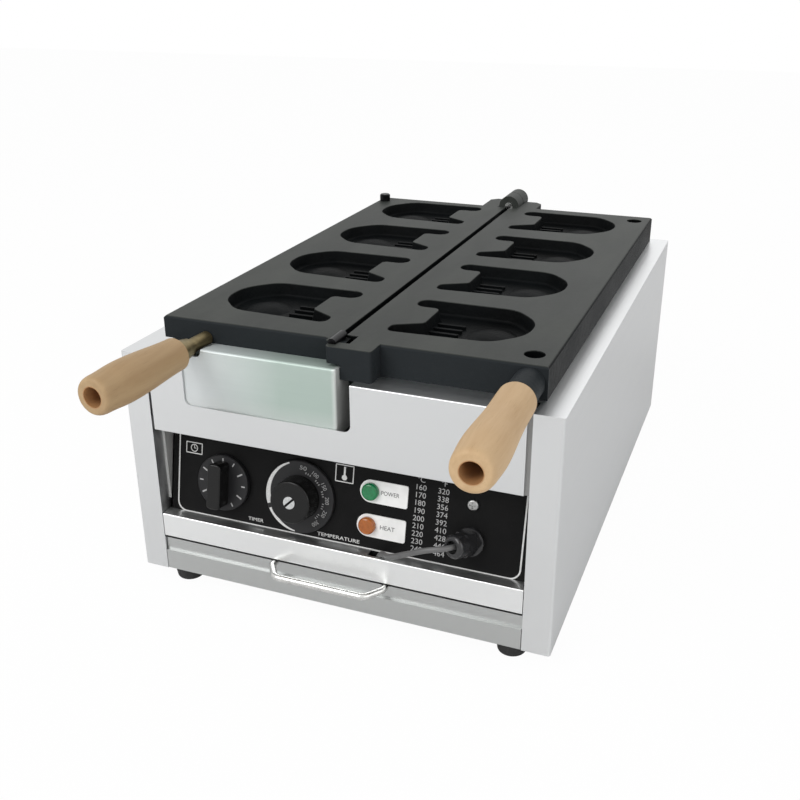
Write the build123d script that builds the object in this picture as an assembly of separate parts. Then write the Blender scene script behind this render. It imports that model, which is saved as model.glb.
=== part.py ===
"""Countertop cooker with a hinged lid and shaped moulds, as separate pieces. Millimetres, +Z up.

X runs across the cabinet, Y from its front to its back, Z up from the table.
Pieces are drawn with Y = 0 on the cabinet's front and X = 0 on the hinge axis.
write() then moves them so that the origin lies under the middle of the whole object.
"""
from build123d import *
from math import cos, radians, sin, tan
import os

# Cabinet, from the table up
cabinet_width = 320.0
cabinet_depth = 445.0
foot_height = 12.0
drawer_height = 26.5
drawer_gap = 2.5
ledge_height = 19.0
recess_height = 70.0
apron_height = 58.0
sheet = 1.2
flange_width = 20.0
front_return = 12.0
fold_radius = 2.0
seam = 0.5
overrun = 1.0
ledge_lap = 3.0

# Apron and the bay that the lid's heater box hangs in
apron_gap_left = 2.0
apron_gap_right = 3.6
apron_rim_depth = 20.0
notch_left = -110.0
notch_right = 17.5
notch_depth = 34.0
notch_corner = 5.0
apron_side_depth = 10.0
bay_depth = 54.0
bay_side_gap = 0.3
left_strip_recess = 7.0
right_strip_recess = 2.0

# Plates
groove = 5.0
lid_width = 133.5
lid_thickness = 16.0
plate_setback = 7.0
lid_setback = 4.0
lower_width = 140.5
lower_thickness = 22.4
plate_front = 22.0
closing_gap = 1.0
plate_bevel = 1.4
plate_bolt_inset = 8.0
plate_bolt_shift = 2.0
plate_bolt_grip = 8.0

# Moulds
mould_count = 4
mould_margin_front = 15.0
mould_margin_back = 1.0
mould_near = 42.5
mould_length = 73.5
mould_breadth = 70.0
mould_depth = 10.0
mould_draft = 14.0
mould_corner = 4.0
floor_radius = 2.5
lobe_reach = 20.0
back_notch = 18.0
back_lobe_width = 17.5
front_notch = 14.0
front_lobe_width = 13.0
lobe_slant = 11.5
lobe_flat = 1.0
shoulder_length = 20.0
shoulder_radius = 22.0
nose_half = 14.0
nose_radius = 30.0
dome_offset = 45.0
dome_radius = 48.0
dome_height = 3.4
rib_offset = 11.0
rib_length = 24.0
rib_width = 2.6
rib_height = 2.2
rib_pitch = 9.0
rib_round = 1.2

# Hinge
pin_diameter = 6.0
running_clearance = 0.05
rear_knuckle_diameter = 20.0
rear_knuckle_length = 18.6
knuckle_gap = 0.6
rear_lug_reach = 30.0
lug_inner = 10.6
lid_lug_width = 16.0
lid_lug_extra = 4.0
lower_lug_width = 17.4
lug_chamfer = 6.0
lug_round = 2.0
rear_barrel_gap = 2.0
pin_head_diameter = 7.7
pin_head_length = 0.8
pin_head_clearance = 0.2
washer_diameter = 10.0
washer_thickness = 2.0
front_knuckle_diameter = 13.0
front_knuckle_length = 13.0
front_knuckle_middle = 24.0
front_knuckle_flat = 2.0
front_neck_root = 6.0
front_pin_bearing = 4.0
front_lug_right = 30.0
front_wall = 9.0
tongue_left = 2.6
tongue_right = 7.5
tongue_thickness = 12.0
pocket_right = 11.0
pocket_depth = 12.5
pocket_clearance = 1.0

# Handles
handle_drop = 12.2
rod_diameter = 10.0
rod_stud_diameter = 6.0
rod_stud_length = 12.0
rod_seat_clearance = 0.3
ferrule_diameter = 16.0
cone_length = 13.0
cone_near_diameter = 12.5
cone_far_diameter = 17.5
upper_wood_near = 23.0
lower_wood_near = 25.0
upper_wood_length = 82.0
lower_wood_length = 99.0
upper_wood_far = 27.8
lower_wood_far = 29.0
wood_tip_diameter = 21.0
wood_swell_place = 0.35
upper_wood_swell = 1.6
lower_wood_swell = 0.4
wood_far_inset = 20.0
wood_round_inset = 8.0
wood_round_fall = 0.8
wood_near_bevel = 1.5
wood_bore_diameter = 13.5
wood_bore_depth = 26.0
lid_handle_x = -103.9
lid_handle_toe = 4.6
lower_handle_x = 130.8
lower_handle_toe = -1.65
lid_handle_start = -12.5
lower_handle_start = -5.8
boss_diameter = 21.0
boss_reach = 26.0
boss_round = 2.0
rod_overlap = 40.0
handle_screw_diameter = 5.0
handle_screw_grip = 15.0
handle_screw_head = 9.6
handle_screw_head_height = 3.4
handle_screw_socket = 5.0
handle_screw_socket_depth = 2.0

# Locating pin and its holes
locating_x = 129.0
rear_locating_inset = 19.0
front_hole_y = 41.0
locating_pin_diameter = 10.5
locating_pin_height = 7.0
locating_pin_bevel = 1.0
locating_hole_diameter = 14.0
locating_hole_depth = 10.0
front_hole_diameter = 14.0
front_hole_depth = 12.0

# Heaters and their covers
cover_wall = 1.2
lid_cover_width = 120.0
lid_cover_depth = 48.4
lid_cover_offset = 2.0
cover_front_left = -118.0
cover_front_right = 7.0
cover_front_y = 1.5
cover_front_bottom = 148.0
cover_front_top = 197.2
cover_slot_left = -109.0
cover_slot_right = -94.8
cover_slot_bottom = 191.4
cover_slot_round = 4.0
cover_edge_radius = 1.6
lower_cover_left = 30.0
lower_cover_width = 98.0
lower_cover_front = 20.0
lower_cover_depth = 36.0
deck_opening_clearance = 2.0
tube_diameter = 8.0
tube_clearance = 0.2
tube_inset = 22.0
tube_drop = 14.0
tube_end_radius = 10.0
bend_slack = 0.01
pad_inset = 15.0
pad_end_depth = 20.0
stud_diameter = 6.0
stud_inset = 8.0
stud_clearance = 0.2
stud_grip = 6.0
stud_tail = 1.0
nut_across_flats = 10.0
nut_height = 5.0
rest_clearance = 0.3
rest_width = 14.0
rest_length = 30.0
rest_inset = 16.0
rest_from_end = 70.0

# Control panel, tilted back
panel_tilt = 12.0
panel_thickness = 1.5
ledge_top_depth = 10.4
panel_foot = 4.0
panel_side_gap = 1.0
timer_u, timer_v = -92.7, 28.7
thermostat_u, thermostat_v = -30.4, 29.1
timer_dial_diameter = 42.0
timer_dial_thickness = 4.0
timer_grip_length = 34.0
timer_grip_width = 11.0
timer_grip_height = 13.0
timer_grip_flat = 4.0
timer_grip_round = 1.2
thermostat_dial_diameter = 54.0
thermostat_dial_thickness = 3.0
thermostat_knob_diameter = 33.0
thermostat_knob_height = 15.0
thermostat_knob_taper = 1.2
knob_round = 1.4
dial_bevel = 0.6
cap_diameter = 9.0
cap_height = 1.6
cap_sink = 1.0
slot_width = 1.6
slot_depth = 0.6
dial_gap = 0.6
shaft_diameter = 6.0
shaft_hole_clearance = 0.5
shaft_depth = 12.0
timer_body_size = 44.0
timer_body_depth = 38.0
thermostat_body_size = 38.0
thermostat_body_depth = 32.0
body_round = 2.0
tab_thickness = 0.8
tab_width = 6.3
tab_length = 8.0
lamp_diameter = 12.5
lamp_barrel_diameter = 9.0
lamp_barrel_length = 24.0
lens_height = 4.0
lens_round = 2.0
power_lamp_u, power_lamp_v = 23.5, 42.7
heat_lamp_u, heat_lamp_v = 22.7, 17.6
label_right = 51.0
label_height = 16.5
label_thickness = 0.8
label_corner = 1.5
panel_screw_u, panel_screw_v = 97.7, 46.6
panel_screw_head = 8.0
panel_screw_head_height = 2.4
panel_screw_round = 1.4
screw_diameter = 4.0
screw_length = 8.0
screw_nut_flats = 7.0
screw_nut_height = 3.2
cross_length = 4.6
cross_width = 1.1
cross_depth = 1.0

# Gland and lead on the panel
gland_u, gland_v = 98.0, 21.0
gland_hole = 12.0
gland_base_diameter = 20.0
gland_base_height = 4.0
gland_lean = 25.0
gland_ball_diameter = 15.0
gland_nut_flats = 16.0
gland_nut_height = 8.0
gland_cap_diameter = 16.5
gland_cap_height = 9.0
gland_cap_round = 2.5
gland_mouth_diameter = 9.0
gland_mouth_depth = 4.0
gland_thread_length = 8.0
gland_lock_flats = 19.0
gland_lock_height = 5.0
lead_diameter = 4.0
lead_curve = 0.45
lead_straight = 9.0
lead_route = ((76.0, -11.0, 83.4), (60.0, -8.0, 74.6), (45.0, -3.2, 65.6),
              (35.5, 4.8, 63.2), (32.5, 7.0, 54.5))
lead_notch_x = 32.0
lead_notch_width = 11.0
lead_notch_depth = 7.5

# Drawer
drawer_step = 2.0
drawer_fold_height = 16.5
tray_side_room = 28.0
tray_back_room = 29.0
tray_height = 23.0
runner_gap = 0.4
runner_lift = 0.3
runner_foot = 14.0
pull_left = -46.5
pull_right = 40.5
pull_lean = 9.0
pull_reach = 16.0
pull_height = 26.0
pull_diameter = 5.0
pull_stem = 3.0
pull_stem_bend = 5.0
pull_bend = 7.0

# Feet
foot_diameter = 24.0
foot_flare = 2.0
foot_round = 2.0
foot_neck = 19.0
foot_inset_x = 30.0
foot_inset_y = 15.0
foot_screw_diameter = 5.0
foot_screw_head = 9.0
foot_screw_head_height = 2.4
foot_recess = 4.0
foot_recess_room = 2.0

# Back panel, inlet and inner parts
vent_count = 9
vent_x = -60.0
vent_width = 60.0
vent_height = 4.0
vent_pitch = 9.0
inlet_from_side = 70.0
inlet_z = 62.0
inlet_hole = 20.0
inlet_flange_diameter = 28.0
inlet_flange_thickness = 3.0
inlet_nut_length = 14.0
inlet_nut_diameter = 24.0
inlet_bore = 10.0
inlet_thread_length = 10.0
inlet_lock_length = 6.0
terminal_width = 60.0
terminal_depth = 22.0
terminal_height = 20.0
terminal_from_back = 80.0
terminal_count = 4
terminal_screw = 5.0
terminal_screw_depth = 6.0
relay_width = 46.0
relay_depth = 60.0
relay_height = 55.0
relay_front = 150.0
relay_round = 2.0
bulb_diameter = 6.0
bulb_length = 90.0
bulb_front = 160.0

# Heights and edges that follow
half_width = cabinet_width / 2
drawer_top = foot_height + drawer_height
ledge_bottom = drawer_top + drawer_gap
ledge_top = ledge_bottom + ledge_height
apron_bottom = ledge_top + recess_height
deck_top = apron_bottom + apron_height
plates_top = deck_top + lower_thickness
lid_bottom = plates_top - lid_thickness
axis_height = plates_top + closing_gap / 2
inner_left = -half_width + flange_width
inner_right = half_width - flange_width
back_inner = cabinet_depth - sheet
lower_length = cabinet_depth - plate_front - plate_setback
lid_length = lower_length - lid_setback
lower_cover_length = lower_length - 2 * lower_cover_front
mould_pitch = (lower_length - mould_margin_front - mould_margin_back) / mould_count
first_mould = plate_front + mould_margin_front + mould_pitch / 2
tray_width = cabinet_width - 2 * tray_side_room
tray_length = cabinet_depth - tray_back_room
inlet_x = half_width - inlet_from_side
lid_right = -groove / 2
lid_left = lid_right - lid_width
lower_left = groove / 2
lower_right = lower_left + lower_width
lid_back = plate_front + lid_length
lower_back = plate_front + lower_length
rear_locating_y = lower_back - rear_locating_inset
notch_bottom = deck_top - notch_depth
bay_floor = deck_top - bay_depth
front_knuckle_front = front_knuckle_middle - front_knuckle_length / 2
front_knuckle_back = front_knuckle_middle + front_knuckle_length / 2
pocket_front = front_knuckle_front - pocket_clearance
pocket_back = front_knuckle_back + pocket_clearance
lug_front = pocket_front - front_wall
rear_barrel_front = lid_back + rear_barrel_gap
rear_barrel_middle = rear_barrel_front + rear_knuckle_length
rear_barrel_back = rear_barrel_middle + knuckle_gap + rear_knuckle_length
rear_pin_end = rear_barrel_back + knuckle_gap + washer_thickness
handle_height = plates_top - handle_drop
lid_cover_right = -lid_cover_offset
lid_cover_left = lid_cover_right - lid_cover_width
lid_cover_bottom = lid_bottom - lid_cover_depth
lower_cover_right = lower_cover_left + lower_cover_width
lower_cover_bottom = deck_top - lower_cover_depth
tilt = radians(panel_tilt)
panel_height = recess_height / cos(tilt)
runner_inner = tray_width / 2 + runner_gap
lid_rod_face = (plate_front - lid_handle_start) / cos(radians(lid_handle_toe)) - 2 * rod_seat_clearance
lower_rod_face = plate_front - boss_reach - lower_handle_start - rod_seat_clearance
lower_handle_reach = lower_wood_length * cos(radians(lower_handle_toe)) - lower_handle_start
front_reach = lower_handle_reach + wood_tip_diameter / 2 * abs(sin(radians(lower_handle_toe)))
middle_y = (rear_pin_end - front_reach) / 2

panel_plane = Plane(origin=(0, ledge_top_depth, ledge_top), x_dir=(1, 0, 0), z_dir=(0, -cos(tilt), sin(tilt)))


def block(x0, x1, y0, y1, z0, z1):
    """A box between its limits."""
    return Pos((x0 + x1) / 2, (y0 + y1) / 2, (z0 + z1) / 2) * Box(x1 - x0, y1 - y0, z1 - z0)


def upright(x, y, z0, z1, diameter):
    """A cylinder along Z."""
    return Pos(x, y, (z0 + z1) / 2) * Cylinder(diameter / 2, z1 - z0)


def along_y(x, z, y0, y1, diameter):
    """A cylinder along Y."""
    return Pos(x, (y0 + y1) / 2, z) * Rot(90, 0, 0) * Cylinder(diameter / 2, y1 - y0)


def on_panel(u, v, shape):
    """Put a shape drawn about the origin on the panel's front face, its +Z pointing out."""
    return panel_plane * Pos(u, v, 0) * shape


def disc(diameter, low, high):
    """A cylinder along Z from one height to another, about the origin."""
    return Pos(0, 0, (low + high) / 2) * Cylinder(diameter / 2, high - low)


def hexagon(across_flats, low, high):
    """A hexagonal prism from one height to another, about the origin."""
    return Pos(0, 0, low) * extrude(RegularPolygon(across_flats / 2, 6, major_radius=False), high - low)


def open_tray(x0, x1, y0, y1, z0, z1, wall):
    """A folded tray that is open at its top."""
    outer = block(x0, x1, y0, y1, z0, z1)
    return outer - block(x0 + wall, x1 - wall, y0 + wall, y1 - wall, z0 + wall, z1 + wall)


def write(name, shape):
    """Move a piece into the object's frame and write its file."""
    export_step(Pos(0, -middle_y, 0) * shape, f"parts/{name}.step")


def group(shapes):
    """Several separate solids as one node."""
    solids = []
    for shape in shapes:
        solids.extend(shape.solids())
    return Compound(children=solids)


# Cabinet shell

def side_panel(side):
    """A side with its front, top, back and bottom flanges folded inwards."""
    outer = block(-half_width, inner_left, 0, cabinet_depth, foot_height, deck_top)
    corners = outer.edges().filter_by(Axis.Z).group_by(Axis.X)[0]
    outer = fillet(corners, fold_radius)
    inner = block(-half_width + sheet, inner_left, sheet, back_inner, foot_height + sheet, deck_top - sheet)
    inner_corners = inner.edges().filter_by(Axis.Z).group_by(Axis.X)[0]
    inner = fillet(inner_corners, fold_radius - sheet)
    panel = outer - inner
    panel += block(inner_left - sheet, inner_left, 0, front_return, foot_height, deck_top)
    if side > 0:
        panel = mirror(panel, Plane.YZ)
    return panel


def back_panel():
    """The back between the side flanges, with vent slots and the inlet's hole."""
    panel = block(inner_left, inner_right, back_inner, cabinet_depth, foot_height + sheet, deck_top)
    middle = (bay_floor + drawer_top) / 2
    for index in range(vent_count):
        z = middle + (index - (vent_count - 1) / 2) * vent_pitch
        slot = extrude(SlotOverall(vent_width, vent_height), sheet + overrun, both=True)
        panel -= Pos(vent_x, back_inner, z) * Rot(90, 0, 0) * slot
    return panel - along_y(inlet_x, inlet_z, back_inner - overrun, cabinet_depth + overrun, inlet_hole)


def base_plate():
    """The floor of the cabinet, which the feet are screwed to."""
    plate = block(-half_width + sheet, half_width - sheet, drawer_step + 2 * sheet, back_inner,
                  foot_height + sheet, foot_height + 2 * sheet)
    for side in (-1, 1):
        middle = side * (inner_right + half_width) / 2
        corner = flange_width / 2 + seam
        plate -= block(middle - corner, middle + corner, 0, front_return + seam,
                       foot_height, foot_height + 3 * sheet)
    for x, y in foot_places():
        plate -= upright(x, y, foot_height, foot_height + 3 * sheet, foot_screw_diameter + stud_clearance)
    return plate


def foot_places():
    """The centres of the feet."""
    return [(x, y) for x in (-half_width + foot_inset_x, half_width - foot_inset_x)
            for y in (foot_inset_y, cabinet_depth - foot_inset_y)]


def inner_floor():
    """The shelf between the drawer and the electrical space."""
    front = front_return + ledge_lap
    side = half_width - sheet
    return block(-side, side, front, back_inner, ledge_bottom, ledge_bottom + sheet)


def front_ledge():
    """The folded strip below the control panel."""
    front = front_return + ledge_lap
    lip = ledge_top_depth - sheet * tan(tilt)
    past = front + overrun
    roof = ledge_top - 2 * sheet
    ledge = block(inner_left + seam, inner_right - seam, 0, front, ledge_bottom, ledge_top)
    ledge = fillet(ledge.edges().filter_by(Axis.X).group_by(Axis.Y)[0], fold_radius - sheet)
    inside = block(inner_left, inner_right, sheet, past, ledge_bottom + sheet, ledge_top - sheet)
    above = block(inner_left, inner_right, lip, past, roof, ledge_top + overrun)
    notch = block(lead_notch_x - lead_notch_width / 2, lead_notch_x + lead_notch_width / 2,
                  lip - lead_notch_depth, lip + overrun, roof, ledge_top + overrun)
    return ledge - inside - above - notch


def panel_y(z):
    """Depth of the panel's front face at a height."""
    return ledge_top_depth + (z - ledge_top) * tan(tilt)


def front_apron():
    """The front sheet with its notch for the lid's heater box, its top rim and its folded edges."""
    left = inner_left + apron_gap_left
    right = inner_right - apron_gap_right
    soffit = panel_y(apron_bottom)
    past = apron_rim_depth + overrun
    low = apron_bottom - overrun
    outer = block(left, right, 0, apron_rim_depth, apron_bottom, deck_top)
    outer = fillet(outer.edges().filter_by(Axis.X).group_by(Axis.Y)[0], fold_radius - sheet)
    apron = outer - block(left + sheet, right - sheet, sheet, past, low, deck_top - sheet)
    for x0, x1 in ((left, left + sheet), (right - sheet, right)):
        apron -= block(x0 - overrun, x1 + overrun, apron_side_depth, past, low, deck_top - sheet)
    apron += block(left, right, sheet, soffit, apron_bottom, apron_bottom + sheet)
    apron -= block(left - overrun, notch_right, sheet, past, deck_top - sheet, deck_top + overrun)
    cut = block(notch_left, notch_right, -overrun, past, notch_bottom, deck_top + notch_corner)
    return apron - fillet(cut.edges().filter_by(Axis.Y).group_by(Axis.Z)[0], notch_corner)


def apron_strips():
    """Set-back strips that join the apron's edges to the side flanges' returns."""
    left = block(inner_left, inner_left + apron_gap_left, left_strip_recess, apron_side_depth,
                 apron_bottom, deck_top)
    right = block(inner_right - apron_gap_right, inner_right, right_strip_recess, apron_side_depth,
                  apron_bottom, deck_top)
    return group([left, right])


def panel_cheeks():
    """The sheets that close the panel recess at its two ends."""
    back = panel_y(apron_bottom)
    left = block(inner_left, inner_left + sheet, front_return, back, ledge_top, apron_bottom)
    right = block(inner_right - sheet, inner_right, front_return, back, ledge_top, apron_bottom)
    room = Box(cabinet_width, 2 * panel_height, cabinet_width, align=(Align.CENTER, Align.CENTER, Align.MAX))
    behind = panel_plane * Pos(0, panel_height / 2, 0) * room
    return group([left - behind, right - behind])


def lid_bay():
    """The well for the lid's heater box. It reaches forward to the apron, which closes it."""
    right = notch_right + 2 * sheet
    front_left = inner_left + apron_gap_left + sheet + bay_side_gap
    top = deck_top + overrun
    floor = bay_floor + sheet
    wall_back = apron_side_depth + sheet
    bay = block(inner_left, right, apron_side_depth, back_inner, bay_floor, deck_top)
    bay += block(front_left, right, sheet, wall_back, bay_floor, deck_top)
    bay -= block(inner_left + sheet, right - sheet, wall_back, back_inner - sheet, floor, top)
    bay -= block(front_left + sheet, right - sheet, 0, wall_back + sheet, floor, top)
    return bay - block(inner_left - overrun, right + overrun, 0, apron_rim_depth, deck_top - sheet, top)


def right_deck():
    """The deck that the lower plate stands on, open over the lower heater box."""
    left = notch_right + 2 * sheet
    low = deck_top - 2 * sheet
    high = deck_top + overrun
    deck = block(left, inner_right, apron_rim_depth, back_inner, deck_top - sheet, deck_top)
    room = deck_opening_clearance
    opening_front = plate_front + lower_cover_front
    deck -= block(lower_cover_left - room, lower_cover_right + room, opening_front - room,
                  opening_front + lower_cover_length + room, low, high)
    for x, y in plate_bolt_places():
        deck -= upright(x, y, low, high, stud_diameter + stud_clearance)
    return deck


def plate_bolt_places():
    """Where the lower plate is bolted to the deck."""
    y_front = plate_front + lower_cover_front / 2
    y_back = lower_back - lower_cover_front / 2 + plate_bolt_shift
    x_left = lower_cover_left + plate_bolt_inset
    x_right = lower_cover_right - plate_bolt_inset
    return [(x_left, y_front), (x_right, y_front), (x_left, y_back), (x_right, y_back)]


def plate_bolts():
    """Bolts from under the deck into the lower plate."""
    bolts = []
    for x, y in plate_bolt_places():
        head = Pos(x, y, 0) * hexagon(nut_across_flats, deck_top - sheet - nut_height, deck_top - sheet)
        bolts.append(head + upright(x, y, deck_top - sheet, deck_top + plate_bolt_grip, stud_diameter))
    return group(bolts)


# Feet and drawer

def feet():
    """Round feet that widen upwards, each with a recess for its screw."""
    shapes = []
    for x, y in foot_places():
        foot = Pos(x, y, 0) * Cone(foot_diameter / 2 - foot_flare, foot_diameter / 2, foot_height,
                                   align=(Align.CENTER, Align.CENTER, Align.MIN))
        foot = fillet(foot.edges().group_by(Axis.Z)[0], foot_round)
        foot += upright(x, y, foot_height, foot_height + sheet, foot_neck)
        foot -= upright(x, y, -overrun, foot_recess, foot_screw_head + foot_recess_room)
        foot -= upright(x, y, 0, foot_height + 2 * sheet, foot_screw_diameter)
        shapes.append(foot)
    return group(shapes)


def foot_screws():
    """Screws through the feet into the base."""
    screws = []
    for x, y in foot_places():
        head = upright(x, y, foot_recess - foot_screw_head_height, foot_recess, foot_screw_head)
        screws.append(head + upright(x, y, foot_recess, foot_height + 2 * sheet, foot_screw_diameter))
    return group(screws)


def crumb_drawer():
    """The shallow tray with its stepped front."""
    lip = drawer_step + sheet
    fold = foot_height + drawer_fold_height
    floor = foot_height + 2 * sheet + runner_lift + sheet
    front = block(inner_left + seam, inner_right - seam, 0, sheet, foot_height + seam, fold)
    front += block(inner_left + seam, inner_right - seam, 0, lip, fold - sheet, fold)
    front += block(inner_left + seam, inner_right - seam, drawer_step, lip, fold - sheet, drawer_top)
    tray = open_tray(-tray_width / 2, tray_width / 2, lip, lip + tray_length,
                     floor, floor + tray_height - sheet, sheet)
    return front + tray


def drawer_runners():
    """Angle strips on the base that the tray slides on."""
    runners = []
    low = foot_height + 2 * sheet
    front = drawer_step + 2 * sheet
    for side in (-1, 1):
        wall = block(runner_inner, runner_inner + sheet, front, back_inner, low, low + tray_height)
        foot = block(runner_inner - runner_foot, runner_inner, front, back_inner, low, low + sheet)
        runner = wall + foot
        runners.append(runner if side > 0 else mirror(runner, Plane.YZ))
    return group(runners)


def drawer_pull():
    """A bent wire pull that stands out from the drawer's front."""
    z = foot_height + pull_height
    left = [(pull_left, drawer_step, z), (pull_left, -pull_stem, z)]
    front = [(pull_left + pull_lean, -pull_reach, z), (pull_right - pull_lean, -pull_reach, z)]
    points = left + front + [(pull_right, -pull_stem, z), (pull_right, drawer_step, z)]
    path = FilletPolyline(*points, radius=[pull_stem_bend, pull_bend, pull_bend, pull_stem_bend])
    return sweep(Plane(points[0], z_dir=path % 0) * Circle(pull_diameter / 2), path=path)


# Plates

def mould_outline():
    """Rounded body with a straight lobe behind and a slanted lobe in front, about its centre line."""
    far = mould_near + mould_length
    tip = mould_near - lobe_reach
    half = mould_breadth / 2
    shoulder = far - shoulder_length
    lobe_front = -front_notch - lobe_slant
    points = [(mould_near, -front_notch), (tip, lobe_front), (tip, lobe_front - front_lobe_width),
              (shoulder, -half), (far, -nose_half), (far, nose_half), (shoulder, half),
              (tip, back_notch + back_lobe_width), (tip, back_notch), (mould_near, back_notch)]
    front_round = (front_lobe_width - lobe_flat) / 2
    back_round = (back_lobe_width - lobe_flat) / 2
    radii = [mould_corner, front_round, front_round, shoulder_radius, nose_radius,
             nose_radius, shoulder_radius, back_round, back_round, mould_corner]
    return make_face(FilletPolyline(*points, radius=radii, close=True))


def mould(y):
    """The space of one mould in the lower plate, with its raised dome and ribs left out of it."""
    space = extrude(mould_outline(), mould_depth, taper=mould_draft)
    space = fillet(space.edges().group_by(Axis.Z)[-1], floor_radius)
    space = mirror(space, Plane.XY)
    space -= Pos(mould_near + dome_offset, 0, dome_height - dome_radius - mould_depth) * Sphere(dome_radius)
    for index in (-1, 0, 1):
        rib = Box(rib_length, rib_width, 2 * rib_height)
        rib = fillet(rib.edges().filter_by(Axis.Z), rib_round)
        space -= Pos(mould_near + rib_offset, index * rib_pitch, -mould_depth) * rib
    return Pos(0, y, plates_top) * space


def all_moulds():
    """The row of moulds of the lower plate."""
    return [mould(first_mould + index * mould_pitch) for index in range(mould_count)]


def lower_plate():
    """The fixed cast plate with its moulds, hinge lug, rear knuckle and handle boss."""
    low = deck_top - overrun
    high = plates_top + overrun
    left = -tongue_left - overrun
    root = plate_front + 2 * plate_bevel
    plate = block(lower_left, lower_right, plate_front, lower_back, deck_top, plates_top)
    edges = plate.edges().group_by(Axis.Z)[-1]
    plate = chamfer(edges.filter_by(Axis.X) + edges.filter_by(Axis.Y).sort_by(Axis.X)[-1:], plate_bevel)
    lug = block(-tongue_left, front_lug_right, lug_front, plate_front, deck_top, plates_top)
    lug = fillet(lug.edges().filter_by(Axis.Z).group_by(Axis.Y)[0], lug_round)
    lug += block(lower_left, front_lug_right, plate_front, root, deck_top, plates_top)
    tongue_low = plates_top - tongue_thickness
    lug -= block(left, tongue_right, lug_front - overrun, plate_front + overrun, low, tongue_low)
    pocket = block(left, pocket_right, pocket_front, pocket_back, plates_top - pocket_depth, high)
    saddle = along_y(0, axis_height, pocket_front - front_pin_bearing - overrun / 2, pocket_front + overrun,
                     pin_diameter + 2 * running_clearance)
    rear_lug = block(lug_inner, lug_inner + lower_lug_width, lower_back - 2 * plate_bevel, rear_lug_end(),
                     lid_bottom, plates_top)
    corner = rear_lug.edges().filter_by(Axis.Z).group_by(Axis.Y)[-1].sort_by(Axis.X)[-1:]
    rear_lug = chamfer(corner, lug_chamfer)
    neck = block(0, lug_inner + overrun, rear_barrel_front, rear_barrel_middle,
                 axis_height - rear_knuckle_diameter / 2, plates_top)
    knuckle = along_y(0, axis_height, rear_barrel_front, rear_barrel_middle, rear_knuckle_diameter)
    plate = plate + lug + handle_boss(root) + rear_lug + neck + knuckle
    plate -= block(left, lower_left, pocket_front, rear_barrel_front, low, high)
    plate -= pocket + saddle
    plate -= along_y(0, axis_height, rear_barrel_front - overrun, rear_barrel_middle + overrun, pin_diameter)
    plate -= along_y(0, axis_height, rear_barrel_front - overrun, rear_barrel_front,
                     pin_head_diameter + 2 * pin_head_clearance)
    for space in all_moulds():
        plate -= space
    hole_low = plates_top - locating_hole_depth
    plate -= upright(locating_x, rear_locating_y, hole_low, high, locating_hole_diameter)
    plate -= upright(locating_x, front_hole_y, plates_top - front_hole_depth, high, front_hole_diameter)
    plate -= on_lower_handle(rod_stud(lower_rod_face))
    for x, y in plate_bolt_places():
        plate -= upright(x, y, low, deck_top + plate_bolt_grip, stud_diameter)
    for x, y in lower_stud_places():
        plate -= upright(x, y, low, deck_top + stud_grip, stud_diameter)
    return plate


def handle_boss(root):
    """The round boss that the lower handle's rod screws into, cut flat where it passes over the deck."""
    boss = along_y(lower_handle_x, handle_height, plate_front - boss_reach, root, boss_diameter)
    boss = fillet(boss.edges().group_by(Axis.Y)[0], boss_round)
    half = boss_diameter
    return boss - block(lower_handle_x - half, lower_handle_x + half, plate_front - boss_reach - overrun,
                        root + overrun, deck_top - half, deck_top)


def rear_lug_end():
    """How far the rear lugs reach."""
    return lid_back + rear_lug_reach


def upper_plate():
    """The hinged cast plate, open at rest, with its moulds and knuckles."""
    plate = block(lid_left, lid_right, plate_front, lid_back, lid_bottom, plates_top)
    edges = plate.edges().group_by(Axis.Z)[-1]
    plate = chamfer(edges.filter_by(Axis.X) + edges.filter_by(Axis.Y).sort_by(Axis.X)[:1], plate_bevel)
    rear_lug = block(-lug_inner - lid_lug_width, -lug_inner, lid_back - 2 * plate_bevel,
                     rear_lug_end() + lid_lug_extra, lid_bottom, plates_top)
    corner = rear_lug.edges().filter_by(Axis.Z).group_by(Axis.Y)[-1].sort_by(Axis.X)[:1]
    rear_lug = chamfer(corner, lug_chamfer)
    rear_front = rear_barrel_middle + knuckle_gap
    rear_neck = block(-lug_inner - overrun, 0, rear_front, rear_barrel_back,
                      axis_height - rear_knuckle_diameter / 2, plates_top)
    rear_knuckle = along_y(0, axis_height, rear_front, rear_barrel_back, rear_knuckle_diameter)
    radius = front_knuckle_diameter / 2
    knuckle_low = front_knuckle_front - overrun
    knuckle_high = front_knuckle_back + overrun
    over_knuckle = axis_height + radius + overrun
    front_knuckle = along_y(0, axis_height, front_knuckle_front, front_knuckle_back, front_knuckle_diameter)
    front_neck = block(lid_right - front_neck_root, 0, plate_front, front_knuckle_back,
                       axis_height - radius, plates_top)
    front_flat = block(lid_right, radius + overrun, knuckle_low, knuckle_high,
                       axis_height - front_knuckle_flat, over_knuckle)
    front_top = block(-radius - overrun, lid_right, knuckle_low, knuckle_high, plates_top, over_knuckle)
    plate = plate + rear_lug + rear_neck + rear_knuckle + front_knuckle + front_neck - front_flat - front_top
    plate -= along_y(0, axis_height, rear_front - overrun, rear_barrel_back + overrun,
                     pin_diameter + 2 * running_clearance)
    plate -= along_y(0, axis_height, knuckle_low, knuckle_high, pin_diameter)
    for space in all_moulds():
        plate -= mirror(space, Plane.YZ)
    plate -= upright(-locating_x, rear_locating_y, plates_top - locating_pin_height,
                     plates_top + overrun, locating_pin_diameter)
    plate -= on_lid_handle(rod_stud(lid_rod_face))
    for x, y in lid_stud_places():
        plate -= upright(x, y, lid_bottom - overrun, lid_bottom + stud_grip, stud_diameter)
    return plate


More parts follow.
